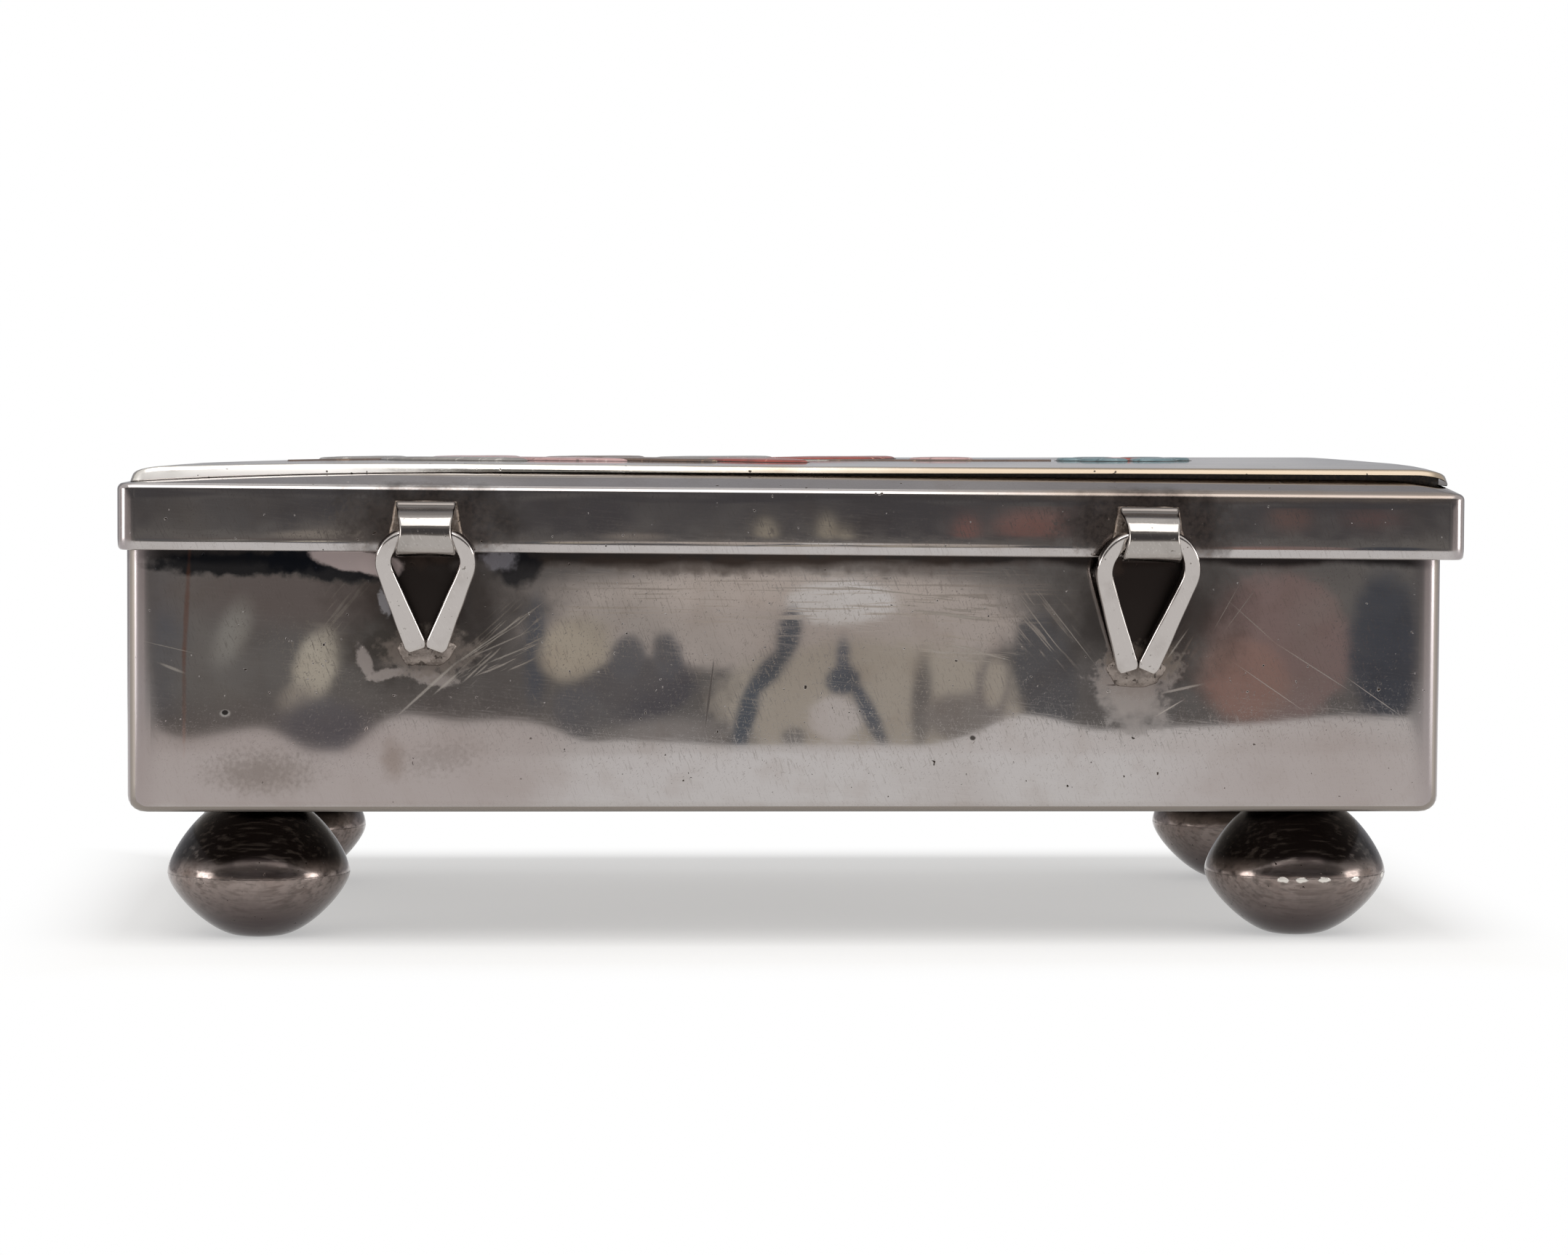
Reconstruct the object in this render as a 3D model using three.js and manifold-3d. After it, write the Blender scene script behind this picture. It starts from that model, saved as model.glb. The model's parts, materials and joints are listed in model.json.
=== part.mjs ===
// An inlaid silver box: a shallow tray on four bun feet, with an overlapping pillow lid that turns on
// two wire loops. A slightly domed plate with stone inlay lies on the lid.
// Millimetres, +Z up, +X along the box, -Y towards the hinged side. The feet stand on z = 0.

import * as THREE from 'three';
import { mergeVertices } from 'three/addons/utils/BufferGeometryUtils.js';
import Module from 'manifold-3d';

const wasm = await Module();
wasm.setup();

// Sheet and lid
const sheet = 1.0;                  // gauge of the walls, floor and lid
const lidLength = 180;
const lidWidth = 110.8;
const lidCornerRadius = 2.5;
const lidSkirtHeight = 8.8;         // turned-down rim, bend included
const lidBendRadius = 0.8;
const lidRise = 1.75;               // pillow of the lid above its bend
const lidRunX = 33;                 // length over which the pillow rises, from each end
const lidRunY = 4;                  // and from each long side
const lidPlateauCorner = 26;        // corner radius of the flat top of the pillow

// Tray
const lidClearance = 1.4;           // between the wall and the inside of the rim
const wallHeight = 41.9;            // from the underside of the floor to the top edge
const wallCornerRadius = 2;
const wallBottomRound = 0.8;
const lidSeatGap = 0.3;             // between the wall's top edge and the lid
const lidPlay = 0.8;                // the lid sits this far to the right of the tray

// Bun feet, each of two stamped cups joined at the widest line
const footRadius = 12.45;
const footShell = 0.9;
const footUpperHeight = 8.9;
const footLowerHeight = 9.4;
const footNeckRadius = 7;
const footPadRadius = 3.3;          // flat spot that the foot stands on
const footInsetX = 16;              // foot centre from the end wall
const footInsetY = 18.5;            // foot centre from the long wall
const footBelly = 1.8;              // 2 would make the cups' sides ellipses

// Hinges: a strap rolled round the top of a teardrop wire loop
const hingeSpacing = 97.4;          // between the two loops' middles
const axisBelowBend = 6.2;          // hinge line below the top of the lid's bend
const tabThickness = 0.7;           // tab that lies on the rim behind the roll
const tabTopWidth = 7.8;
const tabFlare = 1.7;               // extra width on each side at the tab's lower edge
const tabTop = 4.2;                 // above the hinge line
const tabDrop = 0.8;                // below the hinge line
const strapWidth = 7.3;
const strapWaist = 0.25;            // each side draws in at the roll and flares at its lower edge
const strapGauge = 1.1;
const strapBore = 2.0;              // inner radius of the roll
const wireThickness = 2.1;
const wireRound = 0.65;             // corner radius of the worn wire section
const loopHalfWidth = 5.6;          // to the wire's middle, at the widest place
const loopShoulder = 3.9;           // widest place below the hinge line
const loopLength = 15.4;            // from the hinge line to the cut ends
const loopEndHalfGap = 1.62;        // wire middle at the cut ends
const loopArch = 0.33;              // rise of the arch inside the roll
const loopSquareness = 2.5;         // exponent of the arch: 2 would be an ellipse
const solderGap = 0.15;
const padTopWidth = 9.4;
const padBottomWidth = 6.4;
const padAboveEnds = 2.4;
const padBelowEnds = 2.6;
const padThickness = 1.4;
const padBite = 0.4;                // depth of the wire's bed in the solder

// Inlay plate
const plateThickness = 1.0;
const plateInsetX = 1.3;            // from the lid's end
const plateInsetY = 4.4;            // from the lid's long side
const plateCornerRadius = 3;
const plateEdgeRound = 0.3;
const plateDome = 0.8;
const plateCrownPower = 6;          // the crown stays level along X and falls off near the ends
const plateDroop = 1.9;             // the ends bend down by this much
const plateDroopRun = 6;

// Stones
const pocketDepth = 0.6;
const stoneClearance = 0.15;
const stoneBevel = 0.25;
const stoneProud = 0.45;
const stemProud = 0.1;
const stemWidth = 1.6;
const stemSway = 6;                 // how far the stem swings to each side
const stemWave = 150;               // length of one full swing
const branchMargin = 24;            // left plate end to the first leaf
const leafCount = 5;                // leaves on the far side of the stem, one less on the near side
const leafLength = 27;
const leafGap = 1.9;                // between neighbouring leaves
const leafAngle = THREE.MathUtils.degToRad(52);
const leafStemGap = 0.9;
const blossomMargin = 38.5;         // right plate end to the middle of the blossom
const blossomRadius = 9.6;
const petalCount = 6;
const petalGap = 0.8;
const eyeRadius = 2.9;
const budRadius = 4.7;
const budLead = 25.5;               // bud ahead of the blossom
const budOffset = 6.4;              // bud beside the stem

// Facets
const cornerSteps = 4;
const longSteps = 10;
const shortSteps = 4;
const turnSteps = 24;
const stoneCurveSteps = 5;

// Levels and places worked out from the sizes above
const floorBottom = footUpperHeight + footLowerHeight;
const wallTop = floorBottom + wallHeight;
const bendTop = wallTop + lidSeatGap + sheet;
const skirtBottom = bendTop - lidSkirtHeight;
const plateauZ = bendTop + lidRise;
const lidHalfX = lidLength / 2;
const lidHalfY = lidWidth / 2;
const wallHalfX = lidHalfX - sheet - lidClearance;
const wallHalfY = lidHalfY - sheet - lidClearance;
const trayX = -lidPlay;             // the lid is centred, so the tray is not
const rollRadius = strapBore + strapGauge;
const axisOut = rollRadius;         // hinge line outside the rim's face
const axisY = -lidHalfY - axisOut;
const axisZ = bendTop - axisBelowBend;
const plateHalfX = lidHalfX - plateInsetX;
const plateHalfY = lidHalfY - plateInsetY;
const middleY = (axisOut + rollRadius) / 2;

// Silver and stone colours
const brightSilver = { color: 0xd6d3cf, roughness: 0.22, metalness: 1 };
const agedSilver = { color: 0xb9b4ae, roughness: 0.32, metalness: 1 };
const tarnishedSilver = { color: 0x7d736a, roughness: 0.4, metalness: 1 };
const solder = { color: 0xa89f94, roughness: 0.55, metalness: 1 };
const redJasper = { color: 0x8e3b2e, roughness: 0.3, metalness: 0 };
const roseStone = { color: 0xb58f8c, roughness: 0.3, metalness: 0 };
const greyStone = { color: 0x86817c, roughness: 0.3, metalness: 0 };
const tealStone = { color: 0x5f8286, roughness: 0.3, metalness: 0 };
const brownStone = { color: 0x5b4333, roughness: 0.35, metalness: 0 };

const box = new THREE.Group();
box.name = 'inlaid_silver_box';
box.position.y = middleY;

function addPiece(name, geometry, look) {
  const mesh = new THREE.Mesh(geometry, new THREE.MeshStandardMaterial(look));
  mesh.name = name;
  box.add(mesh);
}

// One closed skin: shared corners merged, collapsed triangles dropped, faces turned outwards.
function closedSkin(source) {
  const geometry = source.clone();
  geometry.deleteAttribute('normal');
  geometry.deleteAttribute('uv');
  const merged = mergeVertices(geometry, 1e-4);
  const corners = merged.index.array;
  const kept = [];
  let volume = 0;
  const [a, b, c] = [0, 1, 2].map(() => new THREE.Vector3());
  for (let i = 0; i < corners.length; i += 3) {
    const [p, q, r] = corners.slice(i, i + 3);
    if (p === q || q === r || r === p) {
      continue;
    }
    a.fromBufferAttribute(merged.attributes.position, p);
    b.fromBufferAttribute(merged.attributes.position, q);
    c.fromBufferAttribute(merged.attributes.position, r);
    volume += a.dot(b.cross(c));
    kept.push([p, q, r]);
  }
  const facing = volume < 0 ? kept.map((triangle) => triangle.reverse()) : kept;
  merged.setIndex(facing.flat());
  merged.computeVertexNormals();
  return merged;
}

function toSolid(geometry) {
  const skin = closedSkin(geometry);
  const vertProperties = new Float32Array(skin.attributes.position.array);
  const triVerts = new Uint32Array(skin.index.array);
  return new wasm.Manifold(new wasm.Mesh({ numProp: 3, vertProperties, triVerts }));
}

function toGeometry(solid) {
  const { vertProperties, triVerts } = solid.getMesh();
  const geometry = new THREE.BufferGeometry();
  geometry.setAttribute('position', new THREE.BufferAttribute(new Float32Array(vertProperties), 3));
  geometry.setIndex(Array.from(triVerts));
  geometry.computeVertexNormals();
  return geometry;
}

function cutAll(geometry, cutters) {
  let solid = toSolid(geometry);
  for (const cutter of cutters) {
    solid = solid.subtract(toSolid(cutter));
  }
  return toGeometry(solid);
}

// Rounded rectangle, counter-clockwise, always with the same number of points. The points on its sides
// crowd towards the corners, where the plate and the lid curve most.
function ring(halfX, halfY, radius) {
  const signs = [[1, 1], [-1, 1], [-1, -1], [1, -1]];
  const onCorner = (i, turn) => {
    const [signX, signY] = signs[i % signs.length];
    const angle = turn * Math.PI / 2;
    return new THREE.Vector2(
      signX * (halfX - radius) + radius * Math.cos(angle),
      signY * (halfY - radius) + radius * Math.sin(angle),
    );
  };
  const points = [];
  signs.forEach((sign, i) => {
    for (let s = 0; s <= cornerSteps; s++) {
      points.push(onCorner(i, i + s / cornerSteps));
    }
    const sideStart = onCorner(i, i + 1);
    const sideEnd = onCorner(i + 1, i + 1);
    const sideSteps = i % 2 === 0 ? longSteps : shortSteps;
    for (let s = 1; s < sideSteps; s++) {
      const share = (1 - Math.cos(Math.PI * s / sideSteps)) / 2;
      points.push(sideStart.clone().lerp(sideEnd, share));
    }
  });
  return points;
}

// A ring lifted to a level, which may depend on the place
function liftedRing(halfX, halfY, radius, level) {
  const height = typeof level === 'function' ? level : () => level;
  return ring(halfX, halfY, radius).map((p) => new THREE.Vector3(p.x, p.y, height(p.x, p.y)));
}

// Skin through a row of rings. It closes on itself, or ends in a middle point below and one above.
function loft(rings, bottomMiddle, topMiddle) {
  const count = rings[0].length;
  const points = rings.flat();
  const triangles = [];
  const pairs = bottomMiddle ? rings.length - 1 : rings.length;
  for (let r = 0; r < pairs; r++) {
    const low = r * count;
    const high = ((r + 1) % rings.length) * count;
    for (let k = 0; k < count; k++) {
      const next = (k + 1) % count;
      triangles.push(low + k, low + next, high + next);
      triangles.push(low + k, high + next, high + k);
    }
  }
  if (bottomMiddle) {
    const bottom = points.push(bottomMiddle) - 1;
    const top = points.push(topMiddle) - 1;
    const last = (rings.length - 1) * count;
    for (let k = 0; k < count; k++) {
      const next = (k + 1) % count;
      triangles.push(bottom, next, k);
      triangles.push(last + k, last + next, top);
    }
  }
  const geometry = new THREE.BufferGeometry().setFromPoints(points);
  geometry.setIndex(triangles);
  return closedSkin(geometry);
}

// Tray

function wallBand() {
  const outside = (inset, z) => liftedRing(wallHalfX - inset, wallHalfY - inset, wallCornerRadius - inset, z);
  const half = wallBottomRound * (1 - Math.SQRT1_2);
  const band = loft([
    outside(wallBottomRound, floorBottom),
    outside(half, floorBottom + half),
    outside(0, floorBottom + wallBottomRound),
    outside(0, wallTop),
    outside(sheet, wallTop),
    outside(sheet, floorBottom + sheet),
    outside(sheet, floorBottom),
  ]);
  return band.translate(trayX, 0, 0);
}

function floorPlate() {
  const rim = (z) => liftedRing(wallHalfX - sheet, wallHalfY - sheet, wallCornerRadius - sheet, z);
  const floor = loft(
    [rim(floorBottom), rim(floorBottom + sheet)],
    new THREE.Vector3(0, 0, floorBottom),
    new THREE.Vector3(0, 0, floorBottom + sheet),
  );
  return floor.translate(trayX, 0, 0);
}

addPiece('wall_band', wallBand(), agedSilver);
addPiece('floor_plate', floorPlate(), agedSilver);

// Feet. Each cup is a turned shell, nearly an ellipse in section, with a faint edge at its widest line.

const footProfileSteps = 6;

function bulgingSide(endRadius, height, direction) {
  const fullHeight = height / (1 - (endRadius / footRadius) ** 2) ** (1 / footBelly);
  const side = [];
  for (let s = 0; s <= footProfileSteps; s++) {
    const away = height * Math.sin(s / footProfileSteps * Math.PI / 2);
    const radius = footRadius * Math.sqrt(1 - (away / fullHeight) ** footBelly);
    side.push(new THREE.Vector2(radius, footLowerHeight + direction * away));
  }
  return side;
}

function innerSide(side) {
  const inner = side.filter((point, i) => i % 3 === 0);
  return inner.map((p) => new THREE.Vector2(p.x - footShell, p.y)).reverse();
}

function turned(profile) {
  const geometry = new THREE.LatheGeometry(profile, turnSteps);
  geometry.rotateX(Math.PI / 2);
  return closedSkin(geometry);
}

function footUpperCup() {
  const side = bulgingSide(footNeckRadius, footUpperHeight, 1);
  const profile = [...side, ...innerSide(side)];
  return turned([...profile, profile[0]]);
}

function footLowerCup() {
  const side = bulgingSide(footPadRadius, footLowerHeight, -1);
  const inner = innerSide(side).slice(1);
  const innerFloor = new THREE.Vector2(0, footShell);
  const innerFloorEdge = new THREE.Vector2(footPadRadius, footShell);
  const standingFace = new THREE.Vector2(0, 0);
  return turned([standingFace, ...side.reverse(), ...inner.reverse(), innerFloorEdge, innerFloor]);
}

for (const [alongName, signX] of [['left', -1], ['right', 1]]) {
  for (const [acrossName, signY] of [['back', -1], ['front', 1]]) {
    const footX = trayX + signX * (wallHalfX - footInsetX);
    const footY = signY * (wallHalfY - footInsetY);
    const place = `${acrossName}_${alongName}`;
    addPiece(`foot_upper_cup_${place}`, footUpperCup().translate(footX, footY, 0), tarnishedSilver);
    addPiece(`foot_lower_cup_${place}`, footLowerCup().translate(footX, footY, 0), tarnishedSilver);
  }
}

// Lid

// The pillow: share 0 is the top of the bend, share 1 is the edge of its flat top. It slopes evenly up from
// the long sides and swells slowly from the ends.
function pillowRing(share, inset, drop) {
  const climb = Math.sin(share * Math.PI / 2);
  return liftedRing(
    lidHalfX - lidBendRadius - inset - lidRunX * share,
    lidHalfY - lidBendRadius - inset - lidRunY * climb,
    lidCornerRadius - lidBendRadius + (lidPlateauCorner - lidCornerRadius) * share,
    bendTop + lidRise * climb - drop,
  );
}

function lidShell() {
  const skirt = (inset, z) => liftedRing(lidHalfX - inset, lidHalfY - inset, lidCornerRadius - inset, z);
  const pillowShares = [0, 0.25, 0.5, 0.75, 1];
  const bend = lidBendRadius * (1 - Math.SQRT1_2);
  const outside = [
    skirt(0, skirtBottom),
    skirt(0, bendTop - lidBendRadius),
    skirt(bend, bendTop - bend),
    ...pillowShares.map((share) => pillowRing(share, 0, 0)),
  ];
  const inside = [
    ...pillowShares.map((share) => pillowRing(share, sheet, sheet)).reverse(),
    skirt(sheet, bendTop - sheet - lidBendRadius),
    skirt(sheet, skirtBottom),
  ];
  return loft(
    [...inside, ...outside],
    new THREE.Vector3(0, 0, plateauZ - sheet),
    new THREE.Vector3(0, 0, plateauZ),
  );
}

addPiece('lid_shell', lidShell(), agedSilver);

// Hinges

// Turns a drawing in (inwards, up) from the hinge line into a strip along X
function alongHinge(shape, width) {
  const strip = new THREE.ExtrudeGeometry(shape, { depth: width, bevelEnabled: false, curveSegments: 8 });
  strip.translate(0, 0, -width / 2);
  const basis = new THREE.Matrix4().makeBasis(
    new THREE.Vector3(0, 1, 0),
    new THREE.Vector3(0, 0, 1),
    new THREE.Vector3(1, 0, 0),
  );
  return strip.applyMatrix4(basis);
}

function placeOnHinge(geometry, x) {
  return geometry.translate(x, axisY, axisZ);
}

function hingeStrap(x) {
  const tabFace = axisOut - tabThickness;
  const tailFace = tabFace - strapGauge;
  const rollMeets = 1.75;           // radians round the roll where the tail runs into it
  const rollEnds = 5.24;
  const boreOpens = 0.8;
  const shape = new THREE.Shape();
  shape.moveTo(tabFace, tabTop);
  shape.quadraticCurveTo(tailFace, tabTop, tailFace, tabTop - strapGauge / 2);
  shape.quadraticCurveTo(
    tailFace, rollRadius,
    rollRadius * Math.cos(rollMeets), rollRadius * Math.sin(rollMeets),
  );
  shape.absarc(0, 0, rollRadius, rollMeets, rollEnds, false);
  shape.absarc(0, 0, strapBore, rollEnds, boreOpens, true);
  shape.lineTo(tabFace, strapBore * Math.sin(boreOpens));
  const strap = alongHinge(shape, strapWidth);
  const position = strap.attributes.position;
  for (let i = 0; i < position.count; i++) {
    const low = (tabTop - position.getZ(i)) / (tabTop + rollRadius);
    const widen = strapWaist * Math.cos(low * Math.PI * 2);
    position.setX(i, position.getX(i) + Math.sign(position.getX(i)) * widen);
  }
  return closedSkin(placeOnHinge(strap, x));
}

function hingeTab(x) {
  const halfTop = tabTopWidth / 2;
  const halfLow = halfTop + tabFlare;
  const shape = new THREE.Shape();
  shape.moveTo(-halfTop, tabTop);
  shape.lineTo(-halfLow, -tabDrop);
  shape.lineTo(halfLow, -tabDrop);
  shape.lineTo(halfTop, tabTop);
  const tab = new THREE.ExtrudeGeometry(shape, { depth: tabThickness, bevelEnabled: false });
  tab.rotateX(Math.PI / 2);
  tab.translate(0, axisOut, 0);
  return closedSkin(placeOnHinge(tab, x));
}

function wireSection(swell) {
  const half = wireThickness / 2 + swell;
  const flat = half - wireRound * (2 - Math.SQRT2);
  const corners = [
    [half, flat], [flat, half], [-flat, half], [-half, flat],
    [-half, -flat], [-flat, -half], [flat, -half], [half, -flat],
  ];
  return new THREE.Shape(corners.map(([x, y]) => new THREE.Vector2(x, y)));
}

// Teardrop of wire in a plane that leans from the hinge line towards the solder on the wall:
// a squarish arch, then straight legs that draw together to the cut ends.
function hingeLoop(x, swell) {
  const archSteps = 4;
  const legSteps = 3;
  const rightHalf = [];
  for (let s = 1; s <= archSteps; s++) {
    const angle = s / archSteps * Math.PI / 2;
    const across = loopHalfWidth * Math.sin(angle) ** (2 / loopSquareness);
    const up = (loopArch + loopShoulder) * Math.max(0, Math.cos(angle)) ** (2 / loopSquareness);
    rightHalf.push([across, up - loopShoulder]);
  }
  for (let s = 1; s <= legSteps; s++) {
    const share = s / legSteps;
    rightHalf.push([
      THREE.MathUtils.lerp(loopHalfWidth, loopEndHalfGap, share),
      -THREE.MathUtils.lerp(loopShoulder, loopLength, share),
    ]);
  }
  const leftHalf = rightHalf.map(([across, up]) => [-across, up]).reverse();
  const route = [...leftHalf, [0, loopArch], ...rightHalf];
  const path = new THREE.CatmullRomCurve3(route.map(([across, up]) => new THREE.Vector3(across, up, 0)));
  const loop = new THREE.ExtrudeGeometry(wireSection(swell), {
    steps: 28,
    bevelEnabled: false,
    extrudePath: path,
  });
  const wallOut = axisOut + sheet + lidClearance;
  const endOut = padThickness - padBite + wireThickness / 2;
  const lean = Math.asin((wallOut - endOut) / loopLength);
  loop.rotateX(Math.PI / 2 + lean);
  return closedSkin(placeOnHinge(loop, x));
}

function solderPad(x) {
  const top = -loopLength + padAboveEnds;
  const bottom = -loopLength - padBelowEnds;
  const shape = new THREE.Shape();
  shape.moveTo(-padTopWidth / 2, top);
  shape.lineTo(-padBottomWidth / 2, bottom);
  shape.lineTo(padBottomWidth / 2, bottom);
  shape.lineTo(padTopWidth / 2, top);
  const pad = new THREE.ExtrudeGeometry(shape, { depth: padThickness, bevelEnabled: false });
  pad.rotateX(Math.PI / 2);
  pad.translate(x, -wallHalfY, axisZ);
  return cutAll(pad, [hingeLoop(x, solderGap)]);
}

for (const [side, sign] of [['left', -1], ['right', 1]]) {
  const x = sign * hingeSpacing / 2;
  addPiece(`hinge_loop_${side}`, hingeLoop(x, 0), brightSilver);
  addPiece(`hinge_solder_pad_${side}`, solderPad(x), solder);
  addPiece(`hinge_strap_${side}`, hingeStrap(x), brightSilver);
  addPiece(`hinge_tab_${side}`, hingeTab(x), brightSilver);
}

// Inlay plate

// Each end of the plate rounds down on to the lid.
function droopAt(x) {
  const past = Math.max(0, Math.abs(x) - (plateHalfX - plateDroopRun)) / plateDroopRun;
  return plateDroop * (1 - Math.sqrt(Math.max(0, 1 - past * past)));
}

function plateTopAt(x, y) {
  const crown = (1 - (x / plateHalfX) ** plateCrownPower) * (1 - (y / plateHalfY) ** 2);
  return plateauZ + plateThickness + plateDome * crown - droopAt(x);
}

function inlayPlateBlank() {
  const outline = (inset, level) => {
    const radius = Math.max(plateCornerRadius - inset, plateEdgeRound);
    return liftedRing(plateHalfX - inset, plateHalfY - inset, radius, level);
  };
  const under = (x) => plateauZ - droopAt(x);
  const droopInsets = [0.25, 0.5, 0.75, 1].map((share) => share * plateDroopRun);
  const crownInsets = [0.55, 0.8, 0.95].map((share) => share * plateHalfY);
  return loft(
    [
      ...[...droopInsets].reverse().map((inset) => outline(inset, under)),
      outline(plateEdgeRound, under),
      outline(0, (x) => under(x) + plateEdgeRound),
      outline(0, (x) => under(x) + plateThickness - plateEdgeRound),
      outline(plateEdgeRound, plateTopAt),
      ...[...droopInsets, ...crownInsets].map((inset) => outline(inset, plateTopAt)),
    ],
    new THREE.Vector3(0, 0, plateauZ),
    new THREE.Vector3(0, 0, plateTopAt(0, 0)),
  );
}

// Stones. Each is an outline with its place and turn, set into a pocket of its own in the plate.

const stones = [];

function addStone(name, shape, x, y, turn, look, proud = stoneProud) {
  stones.push({ name, shape, x, y, turn, look, proud });
}

function stoneBlock(stone, grow, low, high, bevel) {
  const block = new THREE.ExtrudeGeometry(stone.shape, {
    depth: high - low - 2 * bevel,
    curveSegments: stoneCurveSteps,
    bevelEnabled: true,
    bevelThickness: bevel,
    bevelSize: grow > 0 ? grow : bevel,
    bevelOffset: grow > 0 ? 0 : -bevel,
    bevelSegments: 1,
  });
  block.translate(0, 0, low + bevel);
  block.rotateZ(stone.turn);
  return block.translate(stone.x, stone.y, 0);
}

function almond(length, width) {
  const shape = new THREE.Shape();
  shape.moveTo(0, 0);
  shape.quadraticCurveTo(length * 0.4, -width, length, 0);
  shape.quadraticCurveTo(length * 0.4, width, 0, 0);
  return shape;
}

function petal() {
  const step = Math.PI / petalCount;
  const start = eyeRadius + petalGap;
  const innerHalf = start * Math.tan(step) - petalGap / 2;
  const shoulder = blossomRadius * 0.72;
  const outerHalf = shoulder * Math.tan(step) - petalGap / 2;
  const shape = new THREE.Shape();
  shape.moveTo(start, -innerHalf);
  shape.lineTo(shoulder, -outerHalf);
  shape.quadraticCurveTo(blossomRadius, -outerHalf, blossomRadius, 0);
  shape.quadraticCurveTo(blossomRadius, outerHalf, shoulder, outerHalf);
  shape.lineTo(start, innerHalf);
  return shape;
}

function disc(radius) {
  return new THREE.Shape().absarc(0, 0, radius, 0, Math.PI * 2, false);
}

// The stem sways along X. Its leaves share the stretch from its start to the bud.
const branchStart = -plateHalfX + branchMargin;
const blossomX = plateHalfX - blossomMargin;
const budX = blossomX - budLead;
const steepest = Math.atan(stemSway * 2 * Math.PI / stemWave);
const leafReach = leafLength * Math.cos(leafAngle - steepest);
const leafSpacing = (budX - budRadius - leafReach - branchStart) / (leafCount - 1);
const leafWidth = leafSpacing * Math.sin(leafAngle) - leafGap;
const stemY = (x) => stemSway * Math.sin(2 * Math.PI * (x - branchStart) / stemWave);
const stemSlope = (x) => Math.atan(Math.tan(steepest) * Math.cos(2 * Math.PI * (x - branchStart) / stemWave));

function stemStrip() {
  const from = branchStart - leafSpacing / 3;
  const to = blossomX - blossomRadius - petalGap;
  const steps = 12;
  const along = Array.from({ length: steps + 1 }, (unused, i) => THREE.MathUtils.lerp(from, to, i / steps));
  const edge = (sign) => along.map((x) => new THREE.Vector2(x, stemY(x) + sign * stemWidth / 2));
  return new THREE.Shape([...edge(-1), ...edge(1).reverse()]);
}

addStone('inlay_stem', stemStrip(), 0, 0, 0, brownStone, stemProud);

const leafLooks = [greyStone, roseStone, brownStone];
for (const [row, sign] of [['far', 1], ['near', -1]]) {
  const count = sign > 0 ? leafCount : leafCount - 1;
  const first = sign > 0 ? branchStart : branchStart + leafSpacing / 2;
  for (let i = 0; i < count; i++) {
    const x = first + i * leafSpacing;
    const y = stemY(x) + sign * (stemWidth / 2 + leafStemGap);
    const last = i === count - 1;
    const look = last ? redJasper : leafLooks[i % leafLooks.length];
    const turn = stemSlope(x) + sign * leafAngle;
    addStone(`inlay_leaf_${row}_${i + 1}`, almond(leafLength, leafWidth), x, y, turn, look);
  }
}

addStone('inlay_bud', disc(budRadius), budX, stemY(budX) + budOffset, 0, roseStone);
addStone('inlay_blossom_eye', disc(eyeRadius), blossomX, stemY(blossomX), 0, redJasper);
for (let i = 0; i < petalCount; i++) {
  const turn = i * 2 * Math.PI / petalCount;
  addStone(`inlay_petal_${i + 1}`, petal(), blossomX, stemY(blossomX), turn, tealStone);
}

// The highest point of the plate under a stone's middle sets its pocket's flat floor.
function pocketFloor(stone) {
  const middle = stone.shape.getPoints(4)
    .reduce((sum, point, i, all) => sum.add(point.clone().divideScalar(all.length)), new THREE.Vector2());
  middle.rotateAround(new THREE.Vector2(), stone.turn);
  return plateTopAt(stone.x + middle.x, stone.y + middle.y) - pocketDepth;
}

const pocketCutters = stones.map((stone) => {
  const low = pocketFloor(stone);
  return stoneBlock(stone, stoneClearance, low, low + 3 * pocketDepth, stoneClearance);
});
addPiece('inlay_plate', cutAll(inlayPlateBlank(), pocketCutters), brightSilver);
for (const stone of stones) {
  const low = pocketFloor(stone);
  const block = stoneBlock(stone, 0, low, low + pocketDepth + stone.proud, stoneBevel);
  addPiece(stone.name, closedSkin(block), stone.look);
}

export default box;
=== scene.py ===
# Looks of an inlaid silver box: planished sheet, wire hinges, bun feet and a lid plate set with stones.
# Shapes are worked out in millimetres, in the part's own frame, and written to the meshes in metres.
# The hinged side faces -Y, which is the side that the photograph shows.

import json
import math

import bmesh
import bpy
import numpy as np
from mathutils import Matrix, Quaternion, Vector, noise


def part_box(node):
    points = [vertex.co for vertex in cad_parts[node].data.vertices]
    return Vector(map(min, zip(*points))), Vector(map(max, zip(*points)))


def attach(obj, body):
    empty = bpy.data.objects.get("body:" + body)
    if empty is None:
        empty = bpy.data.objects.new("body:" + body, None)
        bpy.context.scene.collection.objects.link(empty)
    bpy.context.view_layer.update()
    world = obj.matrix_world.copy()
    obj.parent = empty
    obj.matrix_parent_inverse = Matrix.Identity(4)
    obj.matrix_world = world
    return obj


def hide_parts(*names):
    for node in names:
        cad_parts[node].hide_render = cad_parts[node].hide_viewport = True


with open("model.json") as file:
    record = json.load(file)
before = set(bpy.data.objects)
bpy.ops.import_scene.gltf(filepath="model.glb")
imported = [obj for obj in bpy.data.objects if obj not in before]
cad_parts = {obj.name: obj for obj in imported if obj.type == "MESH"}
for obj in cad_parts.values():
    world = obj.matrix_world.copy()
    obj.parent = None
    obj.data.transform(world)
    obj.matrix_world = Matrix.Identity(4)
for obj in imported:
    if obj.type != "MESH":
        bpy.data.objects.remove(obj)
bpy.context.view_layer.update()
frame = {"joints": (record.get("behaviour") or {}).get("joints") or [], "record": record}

MM = 0.001
UP = np.array([0.0, 0.0, 1.0])


def node_box(node):
    """A node's lowest and highest corners, in mm."""
    return [np.array(corner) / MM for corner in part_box(node)]


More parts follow.
